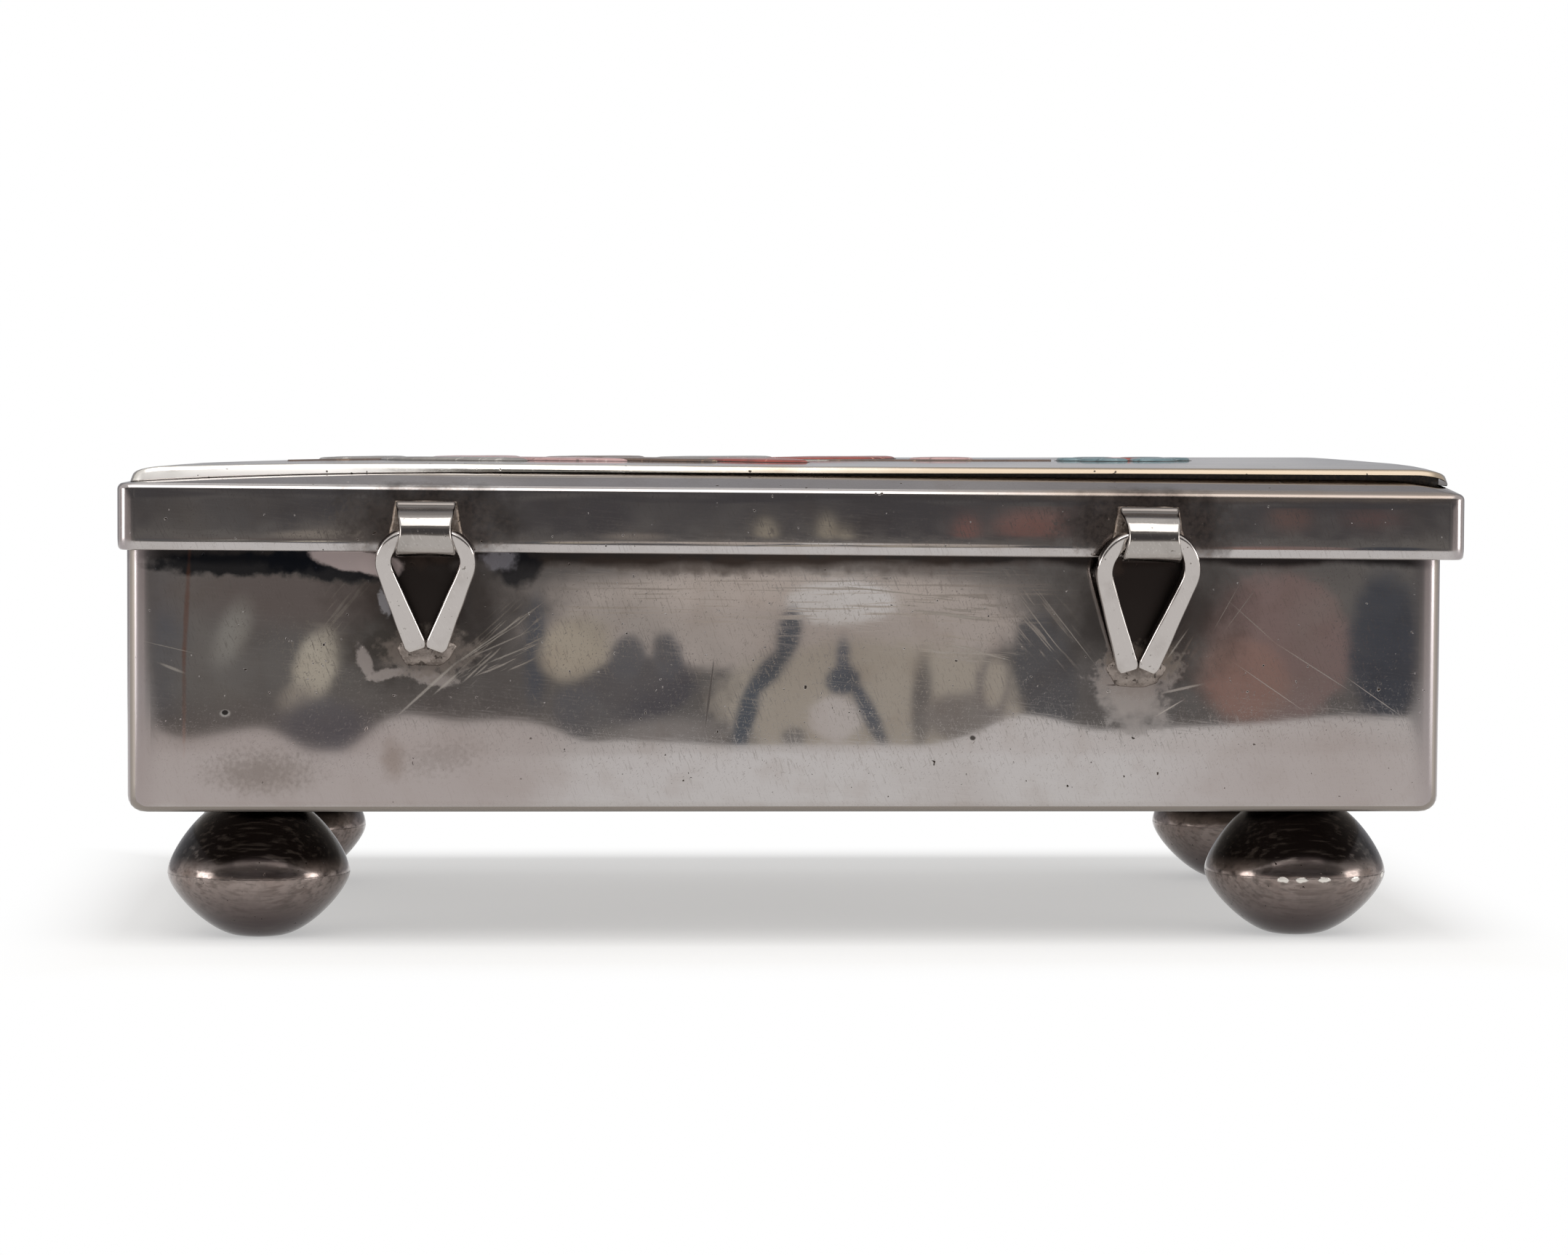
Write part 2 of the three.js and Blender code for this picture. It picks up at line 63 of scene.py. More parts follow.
wall_low, wall_high = node_box("wall_band")
lid_low, lid_high = node_box("lid_shell")
plate_low, plate_high = node_box("inlay_plate")
axis_y, axis_z = [value / MM for value in frame["joints"][0]["pos_m"][1:]]
middle_y = (wall_low[1] + wall_high[1]) / 2
wall_middle_x = (wall_low[0] + wall_high[0]) / 2
wall_face = wall_low[1]
rim_face = lid_low[1]
rim_bottom = lid_low[2]

# Sheet work, mm
SHEET = 1.0
WALL_STRETCH = 0.6               # the hand-bent wall is this much longer at each end than planned
WALL_CORNER = 3.2
WALL_BOTTOM_ROUND = 2.2
WALL_TOP_ROUND = 0.35
FLOOR_STEP = 0.05                # the floor's face stands this much above its edge
INNER_CORNER = 0.5               # least radius of a corner inside the sheet
LID_CORNER = 2.4
LID_BEND = 0.9                   # radius of the worn bend
LID_RISE = 1.75                  # pillow above the bend
LID_RUN_LEFT = 33.0              # the pillow falls slowly to the left end
LID_RUN_RIGHT = 4.2              # and stays full up to the right end
LID_RUN_Y = 4.0
LID_PLATEAU_CORNERS = (26.0, 7.0)    # of its flat top, at the left and right end
LIP_HEIGHT = 1.7                 # lowest stretch of the rim, which turns in a little
LIP_TURN_IN = 0.16
LIP_ROUND = 0.4
CORNER_FULLNESS = 2.4            # 2 is a round corner, more bends in and out of it softly
LID_LEAN = 0.0045                # the lid sits a little higher at its left end
LID_LIFT = 0.2                   # and a little above its plan
UNPOLISHED_BAND = (19.0, 20.1)   # dark band of the wall: its middle above the rim's bottom, half its height
MARK_DEPTH = 0.6                 # marks on the outside do not reach through the sheet
EVERYWHERE = 1000.0              # half size of a mark that runs right across the box
DENTS = {                        # how far each kind of piece is uneven, and over what spread
    "sheet": (0.02, 40.0), "foot": (0.06, 9.0), "wire": (0.07, 3.0), "strap": (0.05, 3.0), "tab": (0.1, 1.2),
    "solder": (0.08, 1.0), "plate": (0.03, 22.0), "stone": (0.03, 4.0), "none": (0.0, 1.0),
}

# Feet, mm
FOOT_RADIUS = 12.45
FOOT_LOWER = 8.7
FOOT_UPPER = 9.6
FOOT_NECK = 4.0
FOOT_PAD = 2.7
FOOT_CENTRE = 0.02                              # radius at which a cup is closed
FOOT_SHOULDER = 0.27                            # how far a cup stays at its full width, share of its height
FOOT_BELLIES = {"upper": 0.61, "lower": 0.53}   # how full each cup is towards its end, share of its radius
FOOT_SHIFTS = {"front_right": (3.2, 4.0)}       # this foot was soldered on out of line

# Hinges, mm
HINGE_X = {"left": -49.3, "right": 46.9}
ROLL_MIDDLE = 2.55               # radius of the strap's middle line round the wire
STRAP_HALF = 0.55
STRAP_WIDTH = 7.3
STRAP_WAIST = 0.3
STRAP_EDGE = 0.35
STRAP_FLAT = 3.0                 # half width of its flat stretch
STRAP_ROLL = (1.75, 5.24)        # where the roll starts and ends, radians round the wire
STRAP_TAIL = 1.85                # how far inwards of the hinge line it comes down from the rim
STRAP_DIP = (1.5, 2.87)          # inwards and up: towards this it bends before it meets the roll
TAB_TOP = 4.2
TAB_DROP = 0.8
TAB_HALF_TOP = 4.1
TAB_FLARE = 0.9
TAB_THICKNESS = 0.7
TAB_SUNK = 0.1
TAB_EDGE = 0.35                  # what its hammered edges keep of its thickness
TAB_EDGE_RUN = 0.125             # how far they run in at top and bottom, share of its height
TAB_SECTION = [(0, 1), (0.5, 1), (0.9, 1), (0.97, 0.75), (1, TAB_EDGE)]    # shares of width and thickness
WIRE_HALF = 1.05
LOOPS = {                        # each loop was bent by hand; the sway is how far its ends hang to one side
    "left": {"length": 15.4, "half_width": 5.6, "shoulder": 3.9, "sway": 0.0},
    "right": {"length": 18.0, "half_width": 5.9, "shoulder": 5.0, "sway": -1.2},
}
LOOP_END = 1.2
LOOP_FLAIR = 0.5                 # how much wider the wire is at its hammered ends
LOOP_FLAIR_POWER = 1.5
LOOP_TIPS = (0.8, 0.94, 1.0)     # size of the wire from its filed tips on
LOOP_REACH = 3.85                # from the hinge line inwards to the wire's ends
LOOP_ARCH = 0.33
LOOP_SQUARENESS = 2.5
LOOP_FLATNESS = 0.45             # of the wire's four faces: 1 is round, 0 is square
PAD_THICKNESS = 0.85
PAD_TOP = 4.2                    # half widths of the solder at its top and bottom
PAD_BOTTOM = 3.2
PAD_ABOVE = 1.7                  # solder above and below the wire's cut ends
PAD_BELOW = 2.0
PAD_FLATNESS = 0.7
PAD_RAGGED = 0.12
PAD_STEPS = [                    # shares of the outline and of the thickness
    (1.0, -0.2), (1.0, 0.04), (0.94, 0.2), (0.86, 0.36), (0.74, 0.6), (0.58, 0.86), (0.4, 0.97), (0.2, 1.0),
]

# Inlay plate and stones, mm
PLATE_THICKNESS = 0.75
PLATE_LIFT = 0.45                # it stands off the lid's flat top
PLATE_CORNER = 3.0
PLATE_INNER_CORNER = 0.4
PLATE_EDGE = [(0, 0.08), (0.08, 0.3), (0.22, 0.62), (0.36, 0.86), (0.58, 0.97)]    # inset, share of thickness
PLATE_INSETS = [0.9, 1.3, 2, 2.8, 3.6, 4.5, 5.5, 7, 9, 11, 13, 15, 17, 20, 24, 28, 33, 38, 43]
PLATE_UNDER_INSET = 0.1
PLATE_SPINE = 0.001              # half width at which its faces close
PLATE_DOME = 0.1
PLATE_CROWN_POWER = 10
PLATE_SAG = 0.95                 # its far left corner lies this much low
PLATE_SPRING = 0.15              # and its far right corner this much high
PLATE_BEND = 0.85                # the left end is bent down with the lid's pillow
PLATE_BEND_RUN = 44.0
PLATE_PERK = 0.25                # the right end stands up by this much
PLATE_PILLOW = 0.6               # and its face is pillowed, with edges that fall off
PLATE_PILLOW_POWER = 6
PLATE_DROOPS = (1.3, 1.55)       # how far its left and right ends round down
PLATE_DROOP_RUN = 5.0
PLATE_GAP = 0.07                 # dark line under the left end
BEDDING = (1.2, 5.0)             # insets of the outside and inside of the cement frame under the plate
BEDDING_SUNK = 0.3
STONE_SUNK = 0.4
STONE_STEPS = [                  # share of the outline, rise above the plate
    (1.0, -STONE_SUNK), (1.0, 0.06), (0.985, 0.22), (0.95, 0.34), (0.88, 0.42), (0.7, 0.46), (0.2, 0.47),
]
STEM_PROUD = 0.1
STEM_HALF = 0.8
STEM_SWAY = 6.0
STEM_WAVE = 150.0
BRANCH_MARGIN = 24.0
LEAF_COUNT = 5
LEAF_LENGTH = 27.0
LEAF_BELLY = 0.4                 # where it bulges most, share of its length
LEAF_GAP = 1.9
LEAF_ANGLE = math.radians(52)
LEAF_STEM_GAP = 0.9
BLOSSOM_MARGIN = 38.5
BLOSSOM_RADIUS = 9.6
PETAL_COUNT = 6
PETAL_GAP = 0.8
PETAL_SHOULDER = 0.72            # where its round end starts, share of the blossom's radius
EYE_RADIUS = 2.9
BUD_RADIUS = 4.7
BUD_LEAD = 25.5
BUD_OFFSET = 6.4
SETTING_WIDTH = 0.3              # dark cement line round each stone
SETTING_RISES = (0.03, 0.05)     # its height above the plate, outside and at the stone

# Photograph: where the camera stands, mm and degrees
IMAGE_WIDTH = 2156
FOCAL_PIXELS = 6219
CAMERA_BACK = 600.0              # from the rim's face
CAMERA_X = -39.0
CAMERA_HEIGHT = 73.1
CAMERA_YAW = 3.55                # towards +X
CAMERA_PITCH = 2.84              # downwards
CAMERA_ROLL = 0.3
SENSOR_WIDTH = 36.0
CLIP = (0.01, 20.0)              # nearest and farthest seen, m

half_wall = (wall_high - wall_low) / 2 + (WALL_STRETCH, 0, 0)
half_lid = (lid_high - lid_low) / 2
half_plate = (plate_high - plate_low) / 2
bend_top = lid_high[2] - LID_RISE
plateau = lid_high[2]
slot_of = {part["node"]: part["material_slot"] for part in frame["record"]["subparts"]}
body_of = {node: body for body, nodes in frame["record"]["behaviour"]["bodies"].items() for node in nodes}


# Materials

def linear(code):
    """An sRGB hex colour as linear RGBA."""
    parts = [int(code[i:i + 2], 16) / 255 for i in (1, 3, 5)]
    return tuple(p / 12.92 if p <= 0.04045 else ((p + 0.055) / 1.055) ** 2.4 for p in parts) + (1.0,)


def add(tree, kind, inputs=None, output=0, **settings):
    """Adds a node, sets its properties, fills its inputs with values or links, and returns one output."""
    made = tree.nodes.new(kind)
    for name, value in settings.items():
        setattr(made, name, value)
    for name, value in (inputs or {}).items():
        if isinstance(value, bpy.types.NodeSocket):
            tree.links.new(value, made.inputs[name])
        else:
            made.inputs[name].default_value = value
    return made.outputs[output] if made.outputs else made


def start(name):
    """A new material, its node tree, and the place on the object in mm."""
    material = bpy.data.materials.new(name)
    material.use_nodes = True
    tree = material.node_tree
    tree.nodes.clear()
    place = add(tree, "ShaderNodeTexCoord", output="Object")
    return material, tree, add(tree, "ShaderNodeVectorMath", {0: place, "Scale": 1 / MM}, operation="SCALE")


def maths(tree, operation, *values):
    """A sum worked out on values or links."""
    return add(tree, "ShaderNodeMath", dict(enumerate(values)), operation=operation)


def ramp(tree, value, low, high, most=1.0, kind="SMOOTHSTEP"):
    """Runs from 0 where the value is low to most where it is high."""
    return add(tree, "ShaderNodeMapRange", {
        "Value": value, "From Min": low, "From Max": high, "To Max": most,
    }, interpolation_type=kind)


def patches(tree, place, size, low, high, most=1.0, detail=3.0):
    """Cloudy patches about size mm across: 0 where the cloud is under low, most where it is over high."""
    cloud = add(tree, "ShaderNodeTexNoise", {"Vector": place, "Scale": 1 / size, "Detail": detail})
    return ramp(tree, cloud, low, high, most)


def hairlines(tree, place, along, gap, low, high, most=1.0, turn=(0, 0, 0)):
    """Scratches about along mm long and gap mm apart, which run along X before the turn."""
    laid = add(tree, "ShaderNodeMapping", {
        "Vector": place, "Rotation": turn, "Scale": (along, gap, gap),
    }, vector_type="TEXTURE")
    return patches(tree, laid, 1.0, low, high, most, detail=2.0)


def spot(tree, place, centre, half, lean=0.0, most=1.0, soft=0.35, ragged=0.0, grain=3.0):
    """A patch with the given middle and half sizes in mm, leaning in the XZ plane. Its edge is soft, or
    ragged with a grain in mm."""
    local = add(tree, "ShaderNodeMapping", {
        "Vector": place, "Location": centre, "Rotation": (0, lean, 0), "Scale": half,
    }, vector_type="TEXTURE")
    reach = add(tree, "ShaderNodeVectorMath", {0: local}, output="Value", operation="LENGTH")
    if ragged:
        cloud = add(tree, "ShaderNodeTexNoise", {"Vector": place, "Scale": 1 / grain, "Detail": 4.0})
        reach = maths(tree, "MULTIPLY_ADD", cloud, 2 * ragged, reach)
    return ramp(tree, reach, 1 + soft + ragged, 1 - soft + ragged, most)


def scratch(tree, place, start_at, end_at, depth, width, most=1.0):
    """One straight scratch between two (x, z) points on the face at y = depth."""
    (x0, z0), (x1, z1) = start_at, end_at
    half = (math.hypot(x1 - x0, z1 - z0) / 2, MARK_DEPTH, width / 2)
    lean = -math.atan2(z1 - z0, x1 - x0)
    return spot(tree, place, ((x0 + x1) / 2, depth, (z0 + z1) / 2), half, lean, most, soft=0.5)


def layered(tree, base, layers):
    """Lays values over a base, one mask after the other. They are all colours, as hex codes or linear RGBA,
    or all plain numbers."""
    def plain(value):
        return linear(value) if isinstance(value, str) else value

    result = plain(base)
    # Sockets of the mix node for colours, or for numbers
    kind, below, above, output = ("RGBA", 6, 7, 2) if isinstance(result, tuple) else ("FLOAT", 2, 3, 0)
    for mask, value in layers:
        inputs = {0: mask, below: result, above: plain(value)}
        result = add(tree, "ShaderNodeMix", inputs, output, data_type=kind)
    return result


def surface(tree, colour, rough, layers, **fixed):
    """Lays layers over a colour and a roughness, one after the other, and makes the surface. Each layer is a
    mask, its colour, its roughness, which may be None, and how far in mm it stands proud. Fixed values go on
    the shader's own sockets."""
    height = 0.0
    for mask, _, _, rise in layers:
        if rise:
            height = maths(tree, "MULTIPLY_ADD", mask, rise, height)
    colours = [(mask, value) for mask, value, _, _ in layers]
    roughs = [(mask, value) for mask, _, value, _ in layers if value is not None]
    inputs = {
        "Base Color": layered(tree, colour, colours),
        "Roughness": layered(tree, rough, roughs),
        "Normal": add(tree, "ShaderNodeBump", {"Height": height, "Distance": MM}),
    }
    inputs.update({name.replace("_", " "): value for name, value in fixed.items()})
    shader = add(tree, "ShaderNodeBsdfPrincipled", inputs)
    add(tree, "ShaderNodeOutputMaterial", {"Surface": shader})


def planished_silver(name, clean, rough, marks):
    """Sterling sheet, planished and rubbed bright by hand: nearly a mirror under a veil of fine scratches,
    with cloudy tarnish, hair-fine nicks and a few pits. Marks is a function that gives what happened to one
    piece."""
    material, tree, place = start(name)
    cloud = patches(tree, place, 26, 0.46, 0.72, 0.55)
    haze = patches(tree, place, 5, 0.46, 0.75, 0.45)
    rubbed = hairlines(tree, place, 3.5, 0.15, 0.42, 0.82, 0.26, turn=(0, 0.1, 0))
    crossed = hairlines(tree, place, 2.5, 0.18, 0.56, 0.7, 0.4, turn=(0, 1.2, 0.3))
    hairs = hairlines(tree, place, 1.5, 0.14, 0.65, 0.71, 0.35, turn=(0, -0.7, 0.5))
    pits = patches(tree, place, 0.8, 0.77, 0.8, detail=1.0)
    layers = [
        (cloud, "#a39b97", rough * 1.2, 0), (haze, "#a39a95", rough * 1.2, 0), (rubbed, "#bab5b2", 0.14, 0),
        (crossed, "#9b9591", 0.14, 0), (hairs, "#756d68", 0.22, -0.001), (pits, "#3a332e", 0.5, -0.03),
    ]
    layers += [(mask, colour, worn_rough, 0) for mask, colour, worn_rough in marks(tree, place)]
    surface(tree, clean, rough, layers, Metallic=1.0)
    return material


# Marks on the hinged wall: x, z, half width, half height, lean in degrees, colour, strength, roughness,
# softness and raggedness of the edge, grain of the raggedness in mm
WALL_MARKS = [
    (-66.0, 23.5, 36.0, 9.0, 0, "#988c88", 0.7, 0.05, 0.5, 0.3, 9.0),
    (72.0, 22.5, 20.0, 7.5, 0, "#9a8e8a", 0.6, 0.05, 0.6, 0.3, 9.0),
    (-6.0, 51.7, 34.0, 1.1, 0, "#584a42", 0.55, 0.20, 0.6, 1.5, 2.6),
    (-74.0, 51.4, 12.0, 1.5, 0, "#22252b", 0.9, 0.15, 0.25, 0.5, 1.5),
    (-62.5, 51.2, 8.6, 2.0, 6, "#1f2229", 0.9, 0.20, 0.25, 0.5, 1.5),
    (-59.0, 52.0, 5.6, 1.5, 8, "#c9b9b6", 0.95, 0.35, 0.15, 0.3, 1.5),
    (-55.4, 51.3, 3.0, 1.5, 8, "#c9b9b6", 0.95, 0.35, 0.2, 0.3, 1.2),
    (-37.0, 51.0, 3.0, 2.3, -6, "#22252b", 0.85, 0.20, 0.3, 0.5, 1.5),
    (-39.6, 52.0, 2.2, 1.4, -5, "#96939a", 0.8, 0.30, 0.4, 0.8, 1.0),
    (-54.8, 46.3, 0.7, 1.6, -15, "#a3a0a3", 0.8, 0.35, 0.3, 1.0, 0.8),
    (41.0, 50.6, 1.2, 1.3, 10, "#a39894", 0.7, 0.35, 0.4, 0.5, 1.0),
    (-81.0, 44.5, 0.3, 6.4, 3, "#a5694d", 0.45, 0.12, 0.6, 0.5, 1.4),
    (-81.3, 34.0, 0.26, 6.0, 0, "#a06a50", 0.35, 0.12, 0.6, 0.6, 1.4),
    (-70.5, 23.4, 5.4, 2.4, 0, "#81766f", 0.5, 0.04, 0.9, 0.8, 2.0),
    (-71.5, 23.8, 5.0, 2.0, 0, "#5d534d", 0.3, 0.08, 0.9, 2.0, 0.6),
    (-53.8, 25.5, 1.4, 2.2, 0, "#7d6d63", 0.5, 0.06, 0.7, 0.5, 1.5),
    (-47.5, 25.6, 4.2, 1.6, -10, "#6b615a", 0.25, 0.08, 0.9, 2.0, 0.6),
    (-75.9, 31.6, 0.62, 0.42, 0, "#b9b5b0", 0.8, 0.30, 0.4, 0.2, 1.5),
    (-75.9, 31.7, 0.45, 0.35, 0, "#1f1b19", 0.95, 0.50, 0.25, 0.2, 1.5),
    (23.8, 28.4, 0.34, 0.3, 0, "#3a332e", 0.85, 0.40, 0.3, 0.3, 0.8),
    (-11.6, 33.8, 0.16, 4.4, 7, "#4b443f", 0.8, 0.30, 0.25, 0.1, 1.5),
    (-55.5, 40.8, 2.6, 2.8, 0, "#4b4641", 0.85, 0.30, 0.5, 0.6, 1.0),
    (-57.4, 38.4, 0.9, 2.2, -20, "#a89e99", 0.85, 0.40, 0.3, 0.7, 0.9),
    (-54.4, 36.9, 2.6, 0.7, -12, "#a89e99", 0.85, 0.40, 0.3, 0.7, 0.9),
    (-48.6, 36.3, 3.2, 0.9, 12, "#a89e99", 0.8, 0.40, 0.3, 0.8, 0.9),
    (-49.0, 39.6, 5.6, 3.0, 0, "#857a72", 0.75, 0.40, 0.4, 0.9, 0.9),
    (45.0, 33.7, 4.2, 3.0, 35, "#bab2ad", 0.9, 0.2, 0.6, 0.8, 1.8),
    (45.6, 36.6, 5.0, 2.6, 0, "#9b908a", 0.8, 0.40, 0.4, 0.7, 0.9),
    (44.6, 35.6, 2.6, 0.13, -2, "#463c36", 0.85, 0.40, 0.4, 0.6, 0.7),
    (46.8, 38.6, 4.8, 2.2, 0, "#85796f", 0.8, 0.45, 0.4, 1.0, 0.8),
]
# Patches of parallel scratches on the hinged wall: x, z, half length, half width, degrees, strength
WALL_SCOURS = [
    (-40.5, 41.0, 6.0, 3.0, 42, 0.75), (-39.0, 38.6, 5.0, 1.8, 24, 0.6), (33.5, 44.0, 6.5, 3.4, -50, 0.45),
    (21.5, 45.6, 8.0, 1.8, -4, 0.6), (22.5, 40.2, 6.0, 1.4, -6, 0.6), (51.0, 40.0, 3.6, 2.0, 60, 0.6),
    (-58.0, 49.0, 7.0, 2.2, 50, 0.35),
]
# Bright scratches on the hinged wall: x and z of both ends, width
WALL_SCRATCHES = [
    (30.0, 47.3, 35.0, 40.8, 0.15), (32.6, 48.0, 40.0, 38.6, 0.15), (6.5, 48.6, 16.4, 47.6, 0.2),
    (19.0, 45.0, 26.0, 44.3, 0.25), (17.4, 40.0, 26.7, 39.6, 0.25), (20.5, 41.0, 28.0, 39.0, 0.2),
    (-52.1, 32.2, -45.5, 38.2, 0.35), (-45.5, 38.2, -34.9, 45.6, 0.2), (-44.4, 38.8, -37.0, 43.6, 0.15),
    (-42.8, 39.4, -36.0, 42.4, 0.2), (-41.0, 38.4, -35.6, 40.6, 0.2), (-48.0, 34.4, -45.0, 37.0, 0.3),
    (58.5, 46.6, 64.5, 41.3, 0.15), (64.5, 41.3, 74.3, 35.1, 0.15), (59.4, 38.3, 67.5, 32.8, 0.12),
    (74.3, 36.6, 81.1, 31.9, 0.1), (49.6, 34.5, 54.5, 35.6, 0.35), (48.8, 31.5, 52.0, 33.4, 0.2),
    (48.4, 39.4, 51.0, 43.0, 0.2), (50.2, 39.4, 52.6, 42.8, 0.2), (56.5, 43.4, 59.4, 48.6, 0.12),
    (58.0, 43.2, 61.8, 48.4, 0.12), (-84.4, 38.2, -81.4, 37.0, 0.4), (-86.0, 41.0, -80.0, 39.6, 0.12),
]


def folded(tree, place, middle_x):
    """The place measured from the box's middle and folded into one quarter, so that marks come in all."""
    from_middle = add(tree, "ShaderNodeVectorMath", {
        0: place, 1: (middle_x, middle_y, 0),
    }, operation="SUBTRACT")
    return add(tree, "ShaderNodeVectorMath", {0: from_middle}, operation="ABSOLUTE")


def worn_corners(tree, place, half, middle_x, reach):
    """A satin strip down each upright corner, where hands have rubbed it."""
    quarter = folded(tree, place, middle_x)
    mask = spot(tree, quarter, (half[0], half[1], 0), (reach, reach, EVERYWHERE), most=0.9, soft=0.8)
    return [(mask, "#989090", 0.25)]


def inside_band(tree, place):
    """1 on the inner faces of the wall band, which were never polished."""
    quarter = folded(tree, place, wall_middle_x)
    inside = 1.0
    for axis, half in zip("XY", half_wall):
        reach = add(tree, "ShaderNodeSeparateXYZ", {0: quarter}, output=axis)
        within = maths(tree, "LESS_THAN", reach, half - SHEET / 2)
        inside = maths(tree, "MULTIPLY", within, inside)
    return inside


def wall_marks(tree, place):
    """Dark skin where the rim kept polish away, patina round the hinges, a scoured band, old knocks and a
    painted shade along the bottom edge.
    """
    def on_face(x, z, half_x, half_z, lean=0.0, **edge):
        half = (half_x, MARK_DEPTH, half_z)
        return spot(tree, place, (x, wall_face, z), half, math.radians(lean), **edge)

    def all_round(level, half, **edge):
        return spot(tree, place, (0, 0, level), (EVERYWHERE, EVERYWHERE, half), **edge)

    band_up, band_half = UNPOLISHED_BAND
    under_rim = all_round(rim_bottom + band_up, band_half, most=0.9, soft=0.03, ragged=0.06, grain=7.0)
    band = on_face(4.0, 47.0, 34.0, 4.4, most=0.5, soft=0.4, ragged=0.4, grain=6.0)
    scoured = maths(tree, "MULTIPLY", band, hairlines(tree, place, 12, 0.3, 0.54, 0.66))
    # Painted shade: a dark band along the wall's lower edge, under the box, where its own shadow falls.
    bottom_edge_shade = all_round(wall_low[2], 0.6, most=0.85, soft=0.7, ragged=0.2, grain=4.0)
    marks = [(under_rim, "#2d2929", 0.15), (scoured, "#bdb4ac", 0.2), (bottom_edge_shade, "#4c423c", 0.3)]
    scoured_patches = 0.0
    for x, z, half_x, half_z, lean, most in WALL_SCOURS:
        lines = hairlines(tree, place, 7, 0.42, 0.55, 0.63, turn=(0, -math.radians(lean), 0))
        patch = on_face(x, z, half_x, half_z, -lean, most=most, soft=0.5, ragged=0.6, grain=3.0)
        lined = maths(tree, "MULTIPLY", lines, patch)
        scoured_patches = maths(tree, "MAXIMUM", lined, scoured_patches)
    marks.append((scoured_patches, "#c6bdb3", 0.3))
    for x in HINGE_X.values():
        halo = on_face(x, 45.5, 10.5, 10.0, most=0.7, soft=0.5, ragged=0.6, grain=4.0)
        patina = on_face(x, 47.3, 5.4, 8.4, most=0.9, soft=0.3, ragged=0.3)
        marks += [(halo, "#4a423d", 0.08), (patina, "#2b2421", 0.3)]
    marks += worn_corners(tree, place, half_wall, wall_middle_x, 3.0)
    for x, z, half_x, half_z, lean, colour, most, rough, soft, ragged, grain in WALL_MARKS:
        mask = on_face(x, z, half_x, half_z, lean, most=most, soft=soft, ragged=ragged, grain=grain)
        marks.append((mask, colour, rough))
    scratched = 0.0
    for x0, z0, x1, z1, width in WALL_SCRATCHES:
        line = scratch(tree, place, (x0, z0), (x1, z1), wall_face, width, 0.6)
        scratched = maths(tree, "MAXIMUM", line, scratched)
    return marks + [(scratched, "#c8c1b8", 0.25), (inside_band(tree, place), "#8d857e", 0.4)]


def lid_marks(tree, place):
    """Fire stain and file marks round the straps, left where polishing could not reach, and a bend that is
    dull along its right half."""
    bend = (62.0, rim_face + LID_BEND / 2, bend_top - LID_BEND / 2)
    dull = spot(tree, place, bend, (44.0, 1.0, 1.0), most=0.8, soft=0.4, ragged=0.3, grain=6.0)
    marks = [(dull, "#87796e", 0.35)]
    for x in HINGE_X.values():
        strap = (x, rim_face, 57.0)
        stain = spot(tree, place, strap, (9.5, 2.0, 5.5), most=0.8, soft=0.5, ragged=0.7, grain=3.0)
        stipple = spot(tree, place, strap, (8.5, 2.0, 5.0), most=0.45, soft=0.5, ragged=1.4, grain=0.5)
        marks += [(stain, "#3a322e", 0.15), (stipple, "#7a6e67", 0.3)]
    return marks + worn_corners(tree, place, half_lid, 0.0, 1.6)


def floor_marks(tree, place):
    """An even dull skin, since nobody polishes the floor of a box."""
    return [(patches(tree, place, 18, 0.35, 0.7, 0.6), "#7f766d", 0.3)]


# Where the solder seam of the hinged side's right foot has lost its tarnish: degrees round from its front
FOOT_CHIPS = (-17, -5, 10, 32, 66)


def stamped_foot_silver():
    """Thin sterling stamped in cups, soldered and left to tarnish: warm grey below, darker towards the bottom
    as painted shade, and nearly black above as painted shade under the box, with a pitted solder seam at the
    widest line and bare chips on one foot."""
    material, tree, place = start("stamped_foot_silver")
    level = add(tree, "ShaderNodeSeparateXYZ", {0: place}, output="Z")
    # The upper cups are painted nearly black: a painted shade under the box, over their tarnish.
    darkened_top = ramp(tree, level, FOOT_LOWER + 0.4, FOOT_LOWER + 2.8)
    shaded = ramp(tree, level, FOOT_LOWER - 0.6, 2.4, kind="LINEAR")
    streaks = hairlines(tree, place, 9, 0.7, 0.48, 0.68, 0.8)
    smoke = hairlines(tree, place, 6, 0.6, 0.5, 0.72, 0.6)
    cloud = patches(tree, place, 7, 0.42, 0.66, 0.5)
    warm = patches(tree, place, 4, 0.5, 0.72, 0.5)
    mottle = patches(tree, place, 0.9, 0.45, 0.72, 0.4)
    seam_half = (EVERYWHERE, EVERYWHERE, 0.07)
    seam = spot(tree, place, (0, 0, FOOT_LOWER), seam_half, most=0.35, soft=0.5, ragged=2.6, grain=0.8)
    pits = patches(tree, place, 0.6, 0.74, 0.78, detail=1.0)
    low, high = node_box("foot_lower_cup_back_right")
    middle = (low + high) / 2
    chips = 0.0
    for turn in FOOT_CHIPS:
        x = middle[0] + FOOT_RADIUS * math.sin(math.radians(turn))
        y = middle[1] - FOOT_RADIUS * math.cos(math.radians(turn))
        chip = spot(tree, place, (x, y, FOOT_LOWER - 0.2), (0.8, 0.8, 0.36), soft=0.2, ragged=0.7, grain=0.9)
        chips = maths(tree, "MAXIMUM", chip, chips)
    surface(tree, "#90847f", 0.16, [
        (streaks, "#6d625d", None, 0), (cloud, "#756b66", 0.2, 0), (warm, "#7d6e68", None, 0),
        (mottle, "#6d645f", 0.24, 0.002), (shaded, "#4f4645", None, 0), (darkened_top, "#1f1a19", None, 0),
        (smoke, "#57504c", None, 0), (seam, "#2b2522", 0.4, -0.03), (chips, "#d9d4cd", 0.3, 0.05),
        (pits, "#231d1a", 0.5, -0.03),
    ], Metallic=1.0)
    return material


